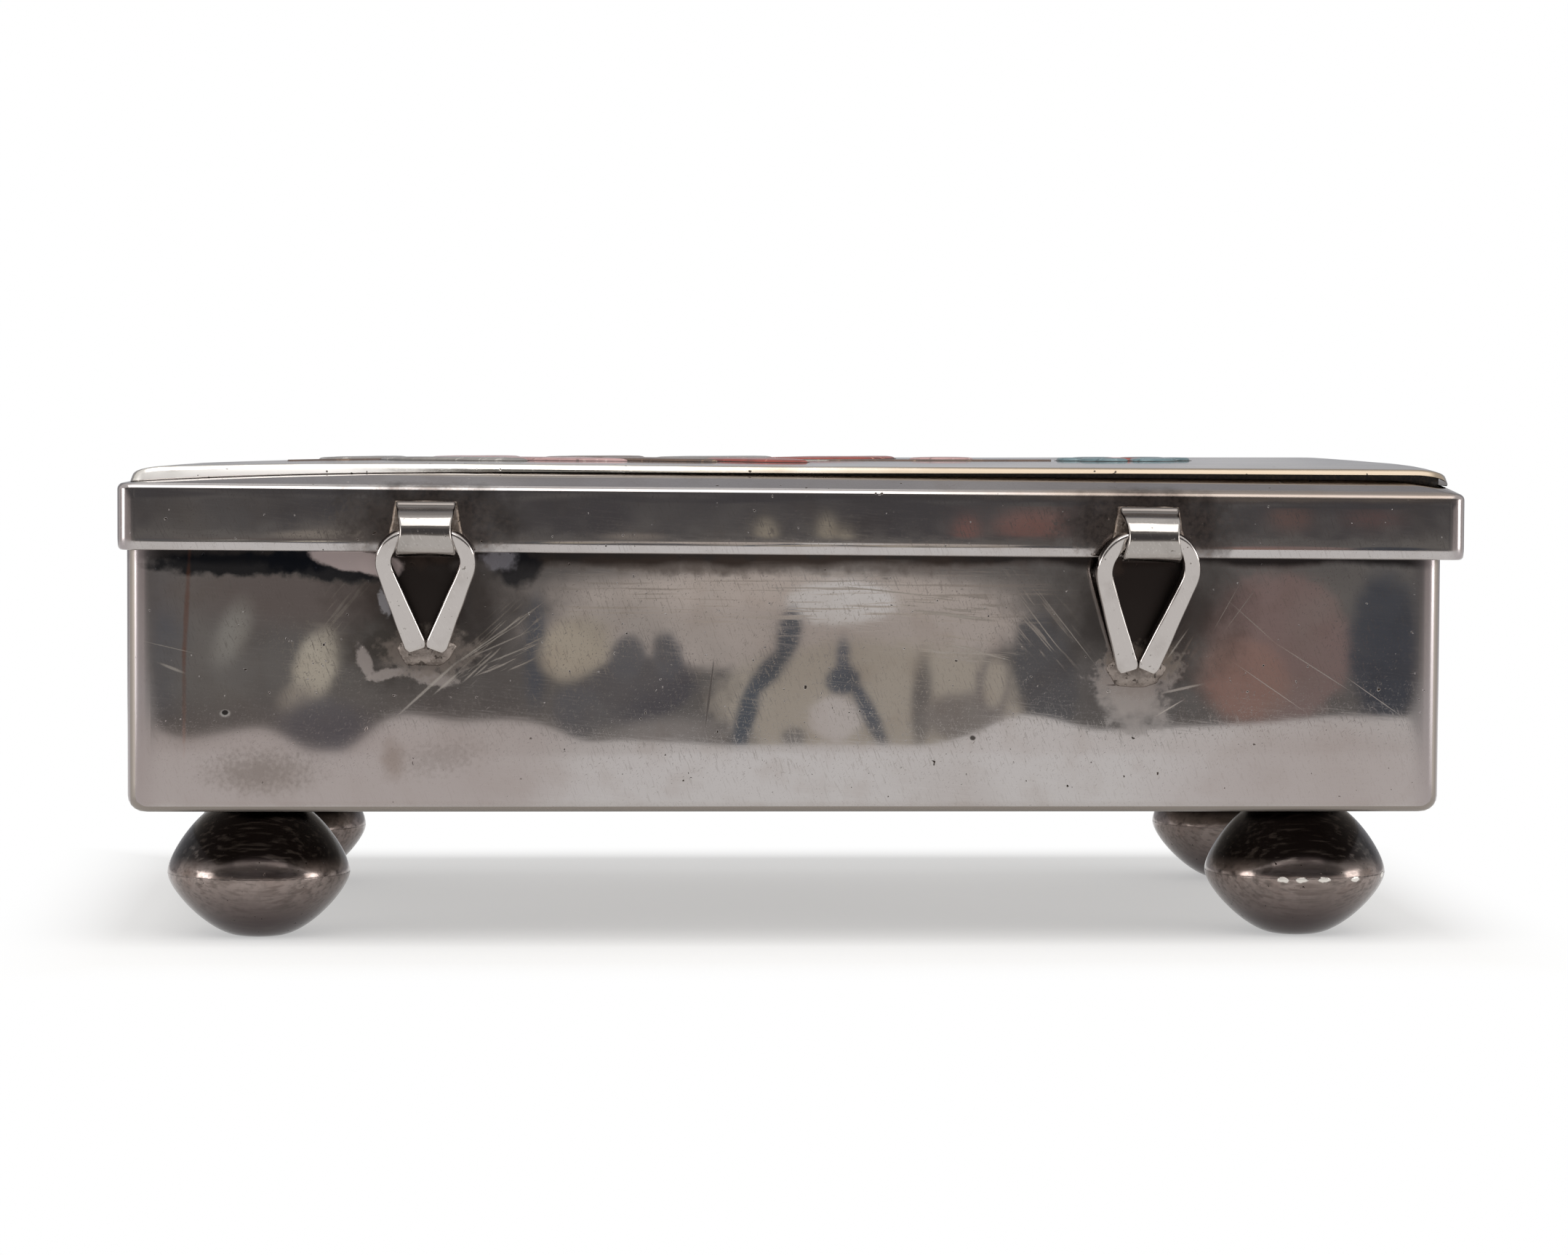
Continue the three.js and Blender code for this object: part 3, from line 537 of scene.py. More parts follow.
def worn_silver(name, clean, dull, darkened_from):
    """Wire and strap, filed and worn smooth by handling: satin, with fine pits and dark flecks, and darker
    above the given level, which is a painted dark reflection."""
    material, tree, place = start(name)
    level = add(tree, "ShaderNodeSeparateXYZ", {0: place}, output="Z")
    # Darker above the given level: a painted dark reflection on the top of the strap's roll.
    darkened_top = ramp(tree, level, darkened_from, darkened_from + 0.5, kind="LINEAR")
    cloud = patches(tree, place, 4, 0.5, 0.75, 0.5)
    pits = patches(tree, place, 0.4, 0.7, 0.76, 0.7, detail=2.0)
    filed = hairlines(tree, place, 4, 0.2, 0.58, 0.7, 0.4, turn=(0, 1.2, 0))
    surface(tree, clean, 0.13, [
        (cloud, dull, 0.19, 0), (filed, "#bfbab5", 0.22, -0.001), (darkened_top, "#6e6864", None, 0),
        (pits, "#5b534c", 0.45, -0.015),
    ], Metallic=1.0)
    return material


def silver_solder(name, clean, dull):
    """Hard solder, flooded on and never cleaned: dull and grainy, with black pits and flux in its cracks."""
    material, tree, place = start(name)
    blotch = patches(tree, place, 2.2, 0.42, 0.66, 0.8)
    cracks = patches(tree, place, 0.9, 0.6, 0.68, 0.7)
    grain = patches(tree, place, 0.3, 0.45, 0.7, 0.5)
    surface(tree, clean, 0.42, [
        (blotch, dull, 0.5, 0.03), (grain, "#9c928b", None, 0.02), (cracks, "#2d2621", 0.6, -0.06),
    ], Metallic=1.0)
    return material


def polished_plate_silver():
    """Sterling plate, flat lapped after the stones were set: bright, with swirls of fine scratches."""
    material, tree, place = start("polished_plate_silver")
    cloud = patches(tree, place, 16, 0.48, 0.74, 0.6)
    swirl = hairlines(tree, place, 7, 0.25, 0.57, 0.7, 0.5, turn=(0, 0, 0.7))
    swept = hairlines(tree, place, 12, 0.3, 0.6, 0.7, 0.5, turn=(0, 0, -0.4))
    pits = patches(tree, place, 0.7, 0.74, 0.78, detail=1.0)
    edge = (60.0, middle_y - half_plate[1], plateau + 0.4)
    creamy = spot(tree, place, edge, (72.0, 1.0, 2.0), most=0.85, soft=0.4, ragged=0.2, grain=6.0)
    scraped_edge = (-68.0, middle_y - half_plate[1], plateau - 0.6)
    scraped = spot(tree, place, scraped_edge, (22.0, 1.0, 2.0), most=0.9, soft=0.4, ragged=0.3, grain=6.0)
    surface(tree, "#c7c2ba", 0.06, [
        (cloud, "#aaa399", 0.09, 0), (swirl, "#d5d1cb", 0.14, 0), (swept, "#d9d5cf", 0.14, 0),
        (creamy, "#8f7e69", 0.38, 0), (scraped, "#efebe7", 0.5, 0), (pits, "#4c443d", 0.5, -0.02),
    ], Metallic=1.0)
    return material


def polished_stone(name, ground, vein, fleck):
    """Opaque hardstone, sawn, ground flush and polished: cloudy ground, wandering veins and small flecks
    under a soft gloss."""
    material, tree, place = start(name)
    cloud = patches(tree, place, 5, 0.38, 0.68, 0.8)
    bent = add(tree, "ShaderNodeTexNoise", {"Vector": place, "Scale": 1 / 4, "Detail": 3.0}, output="Color")
    drift = add(tree, "ShaderNodeVectorMath", {0: bent, 1: (5, 5, 5), 2: place}, operation="MULTIPLY_ADD")
    veins = hairlines(tree, drift, 9, 1.1, 0.6, 0.68, 0.8, turn=(0, 0, 0.5))
    flecks = patches(tree, place, 0.8, 0.6, 0.7, 0.6)
    deep = tuple(0.6 * part for part in linear(ground)[:3]) + (1.0,)
    surface(tree, ground, 0.22, [
        (cloud, deep, None, 0), (veins, vein, 0.3, -0.004), (flecks, fleck, 0.35, -0.006),
    ], IOR=1.54)
    return material


def setting_cement():
    """Shellac cement, pressed in round the stones and blackened with age: matt and grainy."""
    material, tree, place = start("setting_cement")
    grain = patches(tree, place, 0.4, 0.4, 0.7)
    surface(tree, "#1f1915", 0.7, [(grain, "#3a3028", 0.85, 0.03)], IOR=1.5)
    return material


SHEET_SILVER = "#b3aeac"
looks = {
    "wall": planished_silver("planished_wall_silver", SHEET_SILVER, 0.024, wall_marks),
    "lid": planished_silver("planished_lid_silver", SHEET_SILVER, 0.04, lid_marks),
    "floor": planished_silver("planished_floor_silver", "#a8a29b", 0.16, floor_marks),
    "foot": stamped_foot_silver(),
    "wire": worn_silver("drawn_wire_silver", "#b6b0ac", "#a29b96", axis_z + TAB_TOP),
    "strap": worn_silver("rolled_strap_silver", "#a39d98", "#8c8681", axis_z + ROLL_MIDDLE),
    "solder": silver_solder("silver_solder", "#8b817a", "#635a54"),
    "tab": silver_solder("solder_flooded_tab_silver", "#75695f", "#453b36"),
    "plate": polished_plate_silver(),
    "cement": setting_cement(),
    "red_jasper": polished_stone("polished_red_jasper", "#8e3b2e", "#c98a74", "#4c1c17"),
    "rose_stone": polished_stone("polished_rose_rhodonite", "#b58f8c", "#6d5552", "#d8bdb6"),
    "grey_stone": polished_stone("polished_grey_agate", "#86817c", "#b5b0a9", "#5a5652"),
    "teal_stone": polished_stone("polished_teal_turquoise", "#61797f", "#3a494d", "#869a9c"),
    "brown_stone": polished_stone("polished_brown_jasper", "#5b4333", "#8d6f55", "#2f2119"),
}


# Mesh building, in mm

CORNER_STEPS = 12
LONG_STEPS = 64
SHORT_STEPS = 38
MERGE = 0.002


def full_turn(steps):
    """Angles once round."""
    return np.linspace(0, 2 * math.pi, steps, endpoint=False)


def squarish(turn, power):
    """Points round the middle at the given angles: a circle at power 1, more like a square below that."""
    bend = np.column_stack((np.cos(turn), np.sin(turn)))
    return np.sign(bend) * np.abs(bend) ** power


def bezier(points, steps):
    """Points along the curve that a few control points give."""
    share = np.linspace(0, 1, steps)[:, None]
    last = len(points) - 1
    return sum(
        math.comb(last, i) * (1 - share) ** (last - i) * share ** i * np.array(point)
        for i, point in enumerate(points)
    )


def smoothed(points, rounds):
    """Evens out a row of points, with its two ends held."""
    points = points.copy()
    for _ in range(rounds):
        points[1:-1] = (points[:-2] + 2 * points[1:-1] + points[2:]) / 4
    return points


def directions(rows):
    """Each row brought to length 1."""
    return rows / np.linalg.norm(rows, axis=1)[:, None]


def ring(half_x, half_y, radius, level, middle_x=0.0):
    """Rounded rectangle round a middle, at a level that may depend on the place. It always has the same
    number of points, which draw together towards the corners so that the flat stretches mirror flat. The
    radius may be a pair, for the left and right end."""
    left, right = np.minimum(np.broadcast_to(radius, 2), min(half_x, half_y))
    signs = [(1, 1), (-1, 1), (-1, -1), (1, -1)]
    arcs = []
    for i, (sign_x, sign_y) in enumerate(signs):
        radius = right if sign_x > 0 else left
        turn = math.pi / 2 * (i + np.linspace(0, 1, CORNER_STEPS + 1))
        middle = np.array([sign_x * (half_x - radius), sign_y * (half_y - radius)])
        arcs.append(middle + radius * squarish(turn, 2 / CORNER_FULLNESS))
    stretches = []
    for i, arc in enumerate(arcs):
        steps = SHORT_STEPS if i % 2 else LONG_STEPS
        share = (1 - np.cos(np.linspace(0, math.pi, steps + 1)[1:-1, None])) / 2
        stretches += [arc, arc[-1] + (arcs[(i + 1) % 4][0] - arc[-1]) * share]
    flat = np.vstack(stretches)
    height = level(flat[:, 0], flat[:, 1]) if callable(level) else np.full(len(flat), level)
    return np.column_stack((flat[:, 0] + middle_x, flat[:, 1] + middle_y, height))


def loft(rings, around=False):
    """Skin through rings of equal count. It closes on itself, or ends in a flat face at each end."""
    count = len(rings[0])
    faces = []
    for r in range(len(rings) if around else len(rings) - 1):
        low, high = r * count, (r + 1) % len(rings) * count
        for k in range(count):
            after = (k + 1) % count
            faces.append((low + k, low + after, high + after, high + k))
    if not around:
        faces.append(tuple(range(count))[::-1])
        faces.append(tuple(range((len(rings) - 1) * count, len(rings) * count)))
    return np.vstack(rings), faces


def round_over(radius, steps=5):
    """(inset, fall) pairs round a quarter of an edge, from its side to its face."""
    turn = np.linspace(0, math.pi / 2, steps + 1)
    return [(radius * (1 - math.cos(t)), radius * (1 - math.sin(t))) for t in turn]


def lathe(profile, middle, steps=96):
    """Turns (radius, height) pairs about an upright line through the middle."""
    turn = full_turn(steps)
    return loft([
        np.column_stack((middle[0] + r * np.cos(turn), middle[1] + r * np.sin(turn), np.full(steps, z)))
        for r, z in profile
    ])


def sweep(route, sections, normal):
    """Carries sections along a route: u runs across the route, v along the normal."""
    route = np.asarray(route)
    across = np.cross(normal, directions(np.gradient(route, axis=0)))
    return loft([
        point + section[:, :1] * side + section[:, 1:] * normal
        for point, side, section in zip(route, across, sections)
    ])


def build(node, skin, look, dent="none", sharp=40, replaced=True, name=None):
    """Makes the finished piece that stands for a node: it rides on the node's body and takes the given look.
    Edges that turn by more degrees than sharp stay crisp."""
    points, faces = skin
    name = name or "finished_" + node
    mesh = bpy.data.meshes.new(name)
    shape = bmesh.new()
    corners = [shape.verts.new(point) for point in points]
    for face in faces:
        shape.faces.new([corners[i] for i in face])
    bmesh.ops.remove_doubles(shape, verts=shape.verts, dist=MERGE)
    bmesh.ops.dissolve_degenerate(shape, edges=shape.edges, dist=MERGE)
    bmesh.ops.recalc_face_normals(shape, faces=shape.faces)
    shape.normal_update()
    rise, spread = DENTS[dent]
    lifted = body_of[node] == "lid"
    for vert in shape.verts:
        place = vert.co + vert.normal * rise * noise.noise(vert.co / spread)
        if lifted:
            place.z += LID_LIFT - LID_LEAN * place.x
        vert.co = place * MM
    shape.to_mesh(mesh)
    shape.free()
    mesh.shade_smooth()
    mesh.set_sharp_from_angle(angle=math.radians(sharp))
    mesh.materials.append(looks[look])
    piece = bpy.data.objects.new(name, mesh)
    bpy.context.scene.collection.objects.link(piece)
    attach(piece, body_of[node])
    if replaced:
        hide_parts(node)
    return piece


# Tray

def wall_skin():
    """The wall band, with a soft lower edge, a filed top edge and a plain inside."""
    bottom, top = wall_low[2], wall_high[2]
    lower = [(inset, bottom + fall) for inset, fall in round_over(WALL_BOTTOM_ROUND)][::-1]
    outer = [(0, z) for z in np.linspace(bottom + WALL_BOTTOM_ROUND, top - WALL_TOP_ROUND, 24)[1:-1]]
    edge = [(inset, top - fall) for inset, fall in round_over(WALL_TOP_ROUND, 3)]
    inner_edge = [(SHEET - inset, z) for inset, z in edge[::-1]]
    inner = [(SHEET, z) for z in np.linspace(top - WALL_TOP_ROUND, bottom + SHEET, 16)[1:]]
    return loft([
        ring(
            half_wall[0] - inset, half_wall[1] - inset,
            max(WALL_CORNER - inset, INNER_CORNER), z, wall_middle_x,
        )
        for inset, z in lower + outer + edge + inner_edge + inner
    ], around=True)


def floor_skin():
    """The floor plate, which fills the band down to its rounded lower edge."""
    low, high = node_box("floor_plate")
    edge_top = low[2] + SHEET
    edge = [(WALL_BOTTOM_ROUND, low[2]), (SHEET, edge_top), (SHEET, max(high[2], edge_top + FLOOR_STEP))]
    return loft([
        ring(half_wall[0] - inset, half_wall[1] - inset, WALL_CORNER - SHEET, z, wall_middle_x)
        for inset, z in edge
    ])


build("wall_band", wall_skin(), "wall", "sheet")
build("floor_plate", floor_skin(), "floor")


# Feet

def cup_skin(end_radius, height, belly, direction, middle):
    """One bulging cup, closed at its seam and end."""
    full_width = FOOT_SHOULDER * height
    side = bezier([
        (FOOT_RADIUS, 0.0), (FOOT_RADIUS, full_width), (belly * FOOT_RADIUS, height), (end_radius, height),
    ], 30)
    profile = [(FOOT_CENTRE, 0.0), *side, (FOOT_CENTRE, height)]
    return lathe([(r, FOOT_LOWER + direction * d) for r, d in profile], middle)


for place_name in ("back_left", "back_right", "front_left", "front_right"):
    for cup, end_radius, height, direction in (
        ("upper", FOOT_NECK, FOOT_UPPER, 1), ("lower", FOOT_PAD, FOOT_LOWER, -1),
    ):
        node = f"foot_{cup}_cup_{place_name}"
        low, high = node_box(node)
        middle = (low + high)[:2] / 2 + FOOT_SHIFTS.get(place_name, (0, 0))
        skin = cup_skin(end_radius, height, FOOT_BELLIES[cup], direction, middle)
        build(node, skin, "foot", "foot", sharp=50)


# Lid

bend_end = math.pi / 2 - math.atan2(LID_RISE, LID_RUN_Y)
bend_inset = LID_BEND * (1 - math.cos(bend_end))


def pillow(share):
    """Half length, half width, middle, left and right corner radius and height of the lid's pillow, from the
    end of the bend (share 0) to the edge of its flat top (share 1)."""
    climb = np.sin(share * math.pi / 2)
    left, right = LID_RUN_LEFT * share, LID_RUN_RIGHT * share
    half_x = half_lid[0] - bend_inset - (left + right) / 2
    half_y = half_lid[1] - bend_inset - LID_RUN_Y * climb
    corners = [LID_CORNER - bend_inset + (corner - LID_CORNER) * share for corner in LID_PLATEAU_CORNERS]
    return half_x, half_y, (left - right) / 2, corners, bend_top + LID_RISE * climb


def pillow_rings(shares, inset, drop):
    """Rings of the pillow, moved in and down by the given amounts."""
    rings = []
    for share in shares:
        half_x, half_y, middle_x, corners, height = pillow(share)
        rings.append(ring(half_x - inset, half_y - inset, corners, height - drop, middle_x))
    return rings


def lid_height(x, y):
    """Height of the pillow at places measured from the box's middle, found by halving."""
    low, high = np.zeros(len(x)), np.ones(len(x))
    for _ in range(20):
        share = (low + high) / 2
        half_x, half_y, middle_x, (left, right), _height = pillow(share)
        corner = np.where(x > middle_x, right, left)
        past_x = np.maximum(0, np.abs(x - middle_x) - (half_x - corner))
        past_y = np.maximum(0, np.abs(y) - (half_y - corner))
        inside = past_x ** CORNER_FULLNESS + past_y ** CORNER_FULLNESS <= corner ** CORNER_FULLNESS
        low, high = np.where(inside, share, low), np.where(inside, high, share)
    return pillow(low)[4]


def lid_skin():
    """The lid: a rim whose lower lip turns in a little, a crisp bend and a low pillow."""
    def lip(z):
        return LIP_TURN_IN * max(0.0, (rim_bottom + LIP_HEIGHT - z) / LIP_HEIGHT) ** 2

    def skirt(inset, z):
        return ring(half_lid[0] - inset, half_lid[1] - inset, max(LID_CORNER - inset, INNER_CORNER), z)

    bend_start = bend_top - LID_BEND * math.sin(bend_end)
    shares = np.linspace(0, 1, 13)
    under = pillow_rings(shares[::-1], SHEET, SHEET)
    inner = [skirt(SHEET, z) for z in np.linspace(bend_top - 2 * SHEET, rim_bottom + LIP_ROUND, 6)]
    edge = [(inset, rim_bottom + fall) for inset, fall in round_over(LIP_ROUND, 4)]
    edge = [(SHEET - inset, z) for inset, z in edge[1:]] + [(inset + lip(z), z) for inset, z in edge[::-1]]
    outer_levels = [
        *np.linspace(rim_bottom + LIP_ROUND, rim_bottom + LIP_HEIGHT, 6)[1:-1],
        *np.linspace(rim_bottom + LIP_HEIGHT, bend_start, 6)[:-1],
    ]
    outer = [skirt(lip(z), z) for z in outer_levels]
    turns = np.linspace(0, bend_end, 10)
    bend = [skirt(LID_BEND * (1 - math.cos(t)), bend_start + LID_BEND * math.sin(t)) for t in turns]
    over = pillow_rings(shares[1:], 0, 0)
    return loft(under + inner + [skirt(inset, z) for inset, z in edge] + outer + bend + over)


build("lid_shell", lid_skin(), "lid", "sheet")


# Hinges

def strap_section(half):
    """Outline of the rolled strap in (inwards, up) from the hinge line, for a given half thickness: down from
    the rim, over the wire and round it."""
    turn = np.linspace(*STRAP_ROLL, 34)
    roll = ROLL_MIDDLE * np.column_stack((np.cos(turn), np.sin(turn)))
    tail = bezier([(STRAP_TAIL, TAB_TOP - STRAP_HALF), STRAP_DIP, roll[0]], 12)[:-1]
    middle = np.vstack((tail, roll))
    along = directions(np.gradient(middle, axis=0))
    side = np.column_stack((-along[:, 1], along[:, 0]))

    def cap(point, forward, left):
        round_end = np.linspace(-math.pi / 2, math.pi / 2, 7)[1:-1]
        return [point + half * (forward * math.cos(t) - left * math.sin(t)) for t in round_end]

    return np.vstack((
        middle - half * side, cap(middle[-1], along[-1], -side[-1]),
        (middle + half * side)[::-1], cap(middle[0], -along[0], side[0]),
    ))


def strap_skin(x):
    """The strap, waisted at the roll, with its two edges rounded off."""
    rings = []
    edge = [(STRAP_WIDTH / 2 - inset, STRAP_HALF - fall) for fall, inset in round_over(STRAP_EDGE, 4)]
    flat = [(across, STRAP_HALF) for across in np.linspace(-STRAP_FLAT, STRAP_FLAT, 7)]
    for across, half in sorted([(-across, half) for across, half in edge] + flat + edge):
        section = strap_section(half)
        low = (TAB_TOP - section[:, 1]) / (TAB_TOP + ROLL_MIDDLE + STRAP_HALF)
        wide = 1 + 2 * STRAP_WAIST / STRAP_WIDTH * np.cos(low * 2 * math.pi)
        rings.append(np.column_stack((x + across * wide, axis_y + section[:, 0], axis_z + section[:, 1])))
    return loft(rings)


def tab_skin(x):
    """The flared tab between strap and rim, hammered thin at its edges."""
    section = np.array([(-across, out) for across, out in TAB_SECTION[:0:-1]] + TAB_SECTION)
    count = len(section)
    rings = []
    for share in np.linspace(0, 1, 16):
        level = np.full(count, axis_z + TAB_TOP - share * (TAB_TOP + TAB_DROP))
        across = x + section[:, 0] * (TAB_HALF_TOP + TAB_FLARE * share)
        full = min(1.0, min(share, 1 - share) / TAB_EDGE_RUN)
        thick = TAB_THICKNESS * (TAB_EDGE + (1 - TAB_EDGE) * full)
        face = np.column_stack((across, rim_face - section[:, 1] * thick, level))
        back = np.column_stack((across, np.full(count, rim_face + TAB_SUNK), level))
        rings.append(np.vstack((face, back[::-1])))
    return loft(rings)


def loop_skin(x, length, half_width, shoulder, sway):
    """The teardrop of square wire: a squarish arch inside the roll, then straight legs to the hammered ends,
    which hang to one side by the sway."""
    angle = np.linspace(0, math.pi / 2, 30)
    power = 2 / LOOP_SQUARENESS
    arch = np.column_stack((
        half_width * np.sin(angle) ** power,
        (LOOP_ARCH + shoulder) * np.abs(np.cos(angle)) ** power - shoulder,
    ))
    share = np.linspace(0, 1, 34)[1:, None]
    leg = arch[-1] + (np.array([LOOP_END, -length]) - arch[-1]) * share
    half = np.vstack((arch, leg))
    half = np.vstack((half[:1], smoothed(half[1:], 6)))
    flat = np.vstack((half[::-1] * (-1, 1), half[1:]))
    down = np.maximum(0, -flat[:, 1]) / length
    lean = math.asin(LOOP_REACH / length)
    route = np.column_stack((
        x + flat[:, 0] + sway * down,
        axis_y - flat[:, 1] * math.sin(lean),
        axis_z + flat[:, 1] * math.cos(lean),
    ))
    square = squarish(full_turn(40), LOOP_FLATNESS)
    from_tip = np.minimum(np.arange(len(route)), np.arange(len(route))[::-1])
    sizes = WIRE_HALF * np.interp(from_tip, range(len(LOOP_TIPS)), LOOP_TIPS)
    normal = np.array([0.0, -math.cos(lean), -math.sin(lean)])
    widths = sizes * (1 + LOOP_FLAIR * down ** LOOP_FLAIR_POWER)
    return sweep(route, [square * pair for pair in zip(widths, sizes)], normal)


def pad_skin(x, length):
    """The flood of solder that holds the wire's ends: ragged, thin at its edge, highest under the wire."""
    turn = full_turn(96)
    square = squarish(turn, PAD_FLATNESS)
    ragged = [1 + PAD_RAGGED * noise.noise(Vector((2 * math.cos(t), 2 * math.sin(t), x))) for t in turn]
    wide = (PAD_BOTTOM + (PAD_TOP - PAD_BOTTOM) * (square[:, 1] + 1) / 2) * ragged
    tall = (PAD_ABOVE + PAD_BELOW) / 2
    middle_z = axis_z - length + (PAD_ABOVE - PAD_BELOW) / 2
    return loft([
        np.column_stack((
            x + wide * square[:, 0] * share,
            np.full(len(turn), wall_face - PAD_THICKNESS * rise),
            middle_z + tall * square[:, 1] * share * ragged,
        )) for share, rise in PAD_STEPS
    ])


for side, hinge_x in HINGE_X.items():
    loop = LOOPS[side]
    pad = pad_skin(hinge_x + loop["sway"], loop["length"])
    build(f"hinge_loop_{side}", loop_skin(hinge_x, **loop), "wire", "wire", sharp=50)
    build(f"hinge_strap_{side}", strap_skin(hinge_x), "strap", "strap", sharp=50)
    build(f"hinge_tab_{side}", tab_skin(hinge_x), "tab", "tab", sharp=50)
    build(f"hinge_solder_pad_{side}", pad, "solder", "solder", sharp=60)


# Inlay plate

def rightwards(x):
    """0 on the plate's left half, rising to 1 at its right end."""
    return np.clip(x / half_plate[0], 0, 1)


def bow(x):
    """How far the plate's underside stands off the lid's flat top, with a bent left end and rounded ends."""
    bent = np.maximum(0, PLATE_BEND_RUN - half_plate[0] - x) / PLATE_BEND_RUN
    past = np.maximum(0, np.abs(x) - (half_plate[0] - PLATE_DROOP_RUN)) / PLATE_DROOP_RUN
    droop = np.where(x < 0, *PLATE_DROOPS) * (1 - np.sqrt(np.maximum(0, 1 - past ** 2)))
    return PLATE_LIFT + PLATE_PERK * rightwards(x) - PLATE_BEND * bent ** 2 - droop


def twist(x, y):
    """How far the plate is sprung up or down towards its far corners."""
    most = np.where(x < 0, PLATE_SAG, PLATE_SPRING)
    return most * x / half_plate[0] * (1 + y / half_plate[1]) / 2


def plate_top(x, y):
    """Height of the plate's face at a place measured from the box's middle."""
    crown = (1 - (x / half_plate[0]) ** PLATE_CROWN_POWER) * (1 - (y / half_plate[1]) ** 2)
    pillowed = rightwards(x) * (1 - np.abs(y / half_plate[1]) ** PLATE_PILLOW_POWER)
    return plateau + PLATE_THICKNESS + PLATE_DOME * crown + PLATE_PILLOW * pillowed + bow(x) + twist(x, y)


def plate_underside(x, y):
    """Height of the plate's underside: dressed down to the lid at the left end, standing off at the right."""
    level = plateau + bow(x) + twist(x, y)
    gap = np.maximum(0, level - lid_height(x, y) - PLATE_GAP)
    return level - gap * np.clip(0.5 - x / half_plate[0], 0, 1)


def plate_ring(inset, level):
    """The plate's outline, moved in."""
    corner = max(PLATE_CORNER - inset, PLATE_INNER_CORNER)
    return ring(half_plate[0] - inset, half_plate[1] - inset, corner, level)


def plate_skin():
    """The plate with ends that round down and an edge filed to lean inwards, closed along a spine above and
    below."""
    def edge_level(rise):
        return lambda x, y: plate_underside(x, y) * (1 - rise) + plate_top(x, y) * rise

    insets = [*PLATE_INSETS, half_plate[1] - PLATE_SPINE]
    rings = [plate_ring(inset, plate_underside) for inset in [*insets[::-1], PLATE_UNDER_INSET]]
    rings += [plate_ring(inset, edge_level(rise)) for inset, rise in PLATE_EDGE]
    rings += [plate_ring(inset, plate_top) for inset in insets]
    return loft(rings)


def bedding_skin():
    """The frame of cement that beds the plate on the lid, set back from the plate's edge."""
    def foot(x, y):
        return lid_height(x, y) - BEDDING_SUNK

    def head(x, y):
        return np.maximum(plate_underside(x, y), lid_height(x, y) - BEDDING_SUNK / 2)

    outside, inside = BEDDING
    corners = [(outside, foot), (outside, head), (inside, head), (inside, foot)]
    return loft([plate_ring(inset, level) for inset, level in corners], around=True)


build("inlay_plate", plate_skin(), "plate", "plate")
build("inlay_plate", bedding_skin(), "cement", replaced=False, name="bedding_inlay_plate")


# Stones

def almond():
    """Leaf outline from its stalk to its tip, along X."""
    side = bezier([(0, 0), (LEAF_BELLY * LEAF_LENGTH, -leaf_width), (LEAF_LENGTH, 0)], 33)
    return np.vstack((side, (side * (1, -1))[-2:0:-1]))


def petal():
    """Petal outline, blunt towards the blossom's eye and round outside."""
    def half_width(reach):
        return reach * math.tan(math.pi / PETAL_COUNT) - PETAL_GAP / 2

    start_at = EYE_RADIUS + PETAL_GAP
    shoulder = PETAL_SHOULDER * BLOSSOM_RADIUS
    inner, outer = half_width(start_at), half_width(shoulder)
    side = bezier([(start_at, -inner), (shoulder, -outer)], 8)[:-1]
    round_end = bezier([(shoulder, -outer), (BLOSSOM_RADIUS, -outer), (BLOSSOM_RADIUS, 0)], 12)
    lower = np.vstack((side, round_end))
    return np.vstack((lower, (lower * (1, -1))[-2::-1]))


def disc(radius):
    """Round outline."""
    return radius * squarish(full_turn(48), 1)


def placed(outline, x, y, turn):
    """An outline turned and moved to its place on the plate."""
    spin = np.array([[math.cos(turn), math.sin(turn)], [-math.sin(turn), math.cos(turn)]])
    return outline @ spin + (x, y)


def on_plate(outline, rise):
    """An outline laid on the plate's face, rise mm above it."""
    height = plate_top(outline[:, 0], outline[:, 1]) + rise
    return np.column_stack((outline[:, 0], outline[:, 1] + middle_y, height))


def stone_skin(outline):
    """A stone with a softened edge and a slightly cushioned face."""
    middle = outline.mean(axis=0)
    return loft([on_plate(middle + (outline - middle) * share, rise) for share, rise in STONE_STEPS])


def grown(outline, distance):
    """An outline moved outwards all round."""
    along = directions(np.roll(outline, -1, axis=0) - np.roll(outline, 1, axis=0))
    return outline + distance * np.column_stack((along[:, 1], -along[:, 0]))


def set_stone(node, outline):
    """A stone and the thin line of cement round it."""
    build(node, stone_skin(outline), slot_of[node], "stone", sharp=45)
    outside = grown(outline, SETTING_WIDTH)
    outer_rise, inner_rise = SETTING_RISES
    line = loft([
        on_plate(outside, -STONE_SUNK), on_plate(outside, outer_rise),
        on_plate(outline, inner_rise), on_plate(outline, -STONE_SUNK),
    ], around=True)
    build(node, line, "cement", replaced=False, name="setting_" + node)


branch_start = -half_plate[0] + BRANCH_MARGIN
blossom_x = half_plate[0] - BLOSSOM_MARGIN
bud_x = blossom_x - BUD_LEAD
steepest = math.atan(STEM_SWAY * 2 * math.pi / STEM_WAVE)
leaf_reach = LEAF_LENGTH * math.cos(LEAF_ANGLE - steepest)
leaf_spacing = (bud_x - BUD_RADIUS - leaf_reach - branch_start) / (LEAF_COUNT - 1)
leaf_width = leaf_spacing * math.sin(LEAF_ANGLE) - LEAF_GAP


def stem_y(x):
    """How far the stem sways from the plate's middle line at x."""
    return STEM_SWAY * np.sin(2 * math.pi * (x - branch_start) / STEM_WAVE)


def stem_slope(x):
    """The stem's direction at x, as an angle."""
    return math.atan(math.tan(steepest) * math.cos(2 * math.pi * (x - branch_start) / STEM_WAVE))


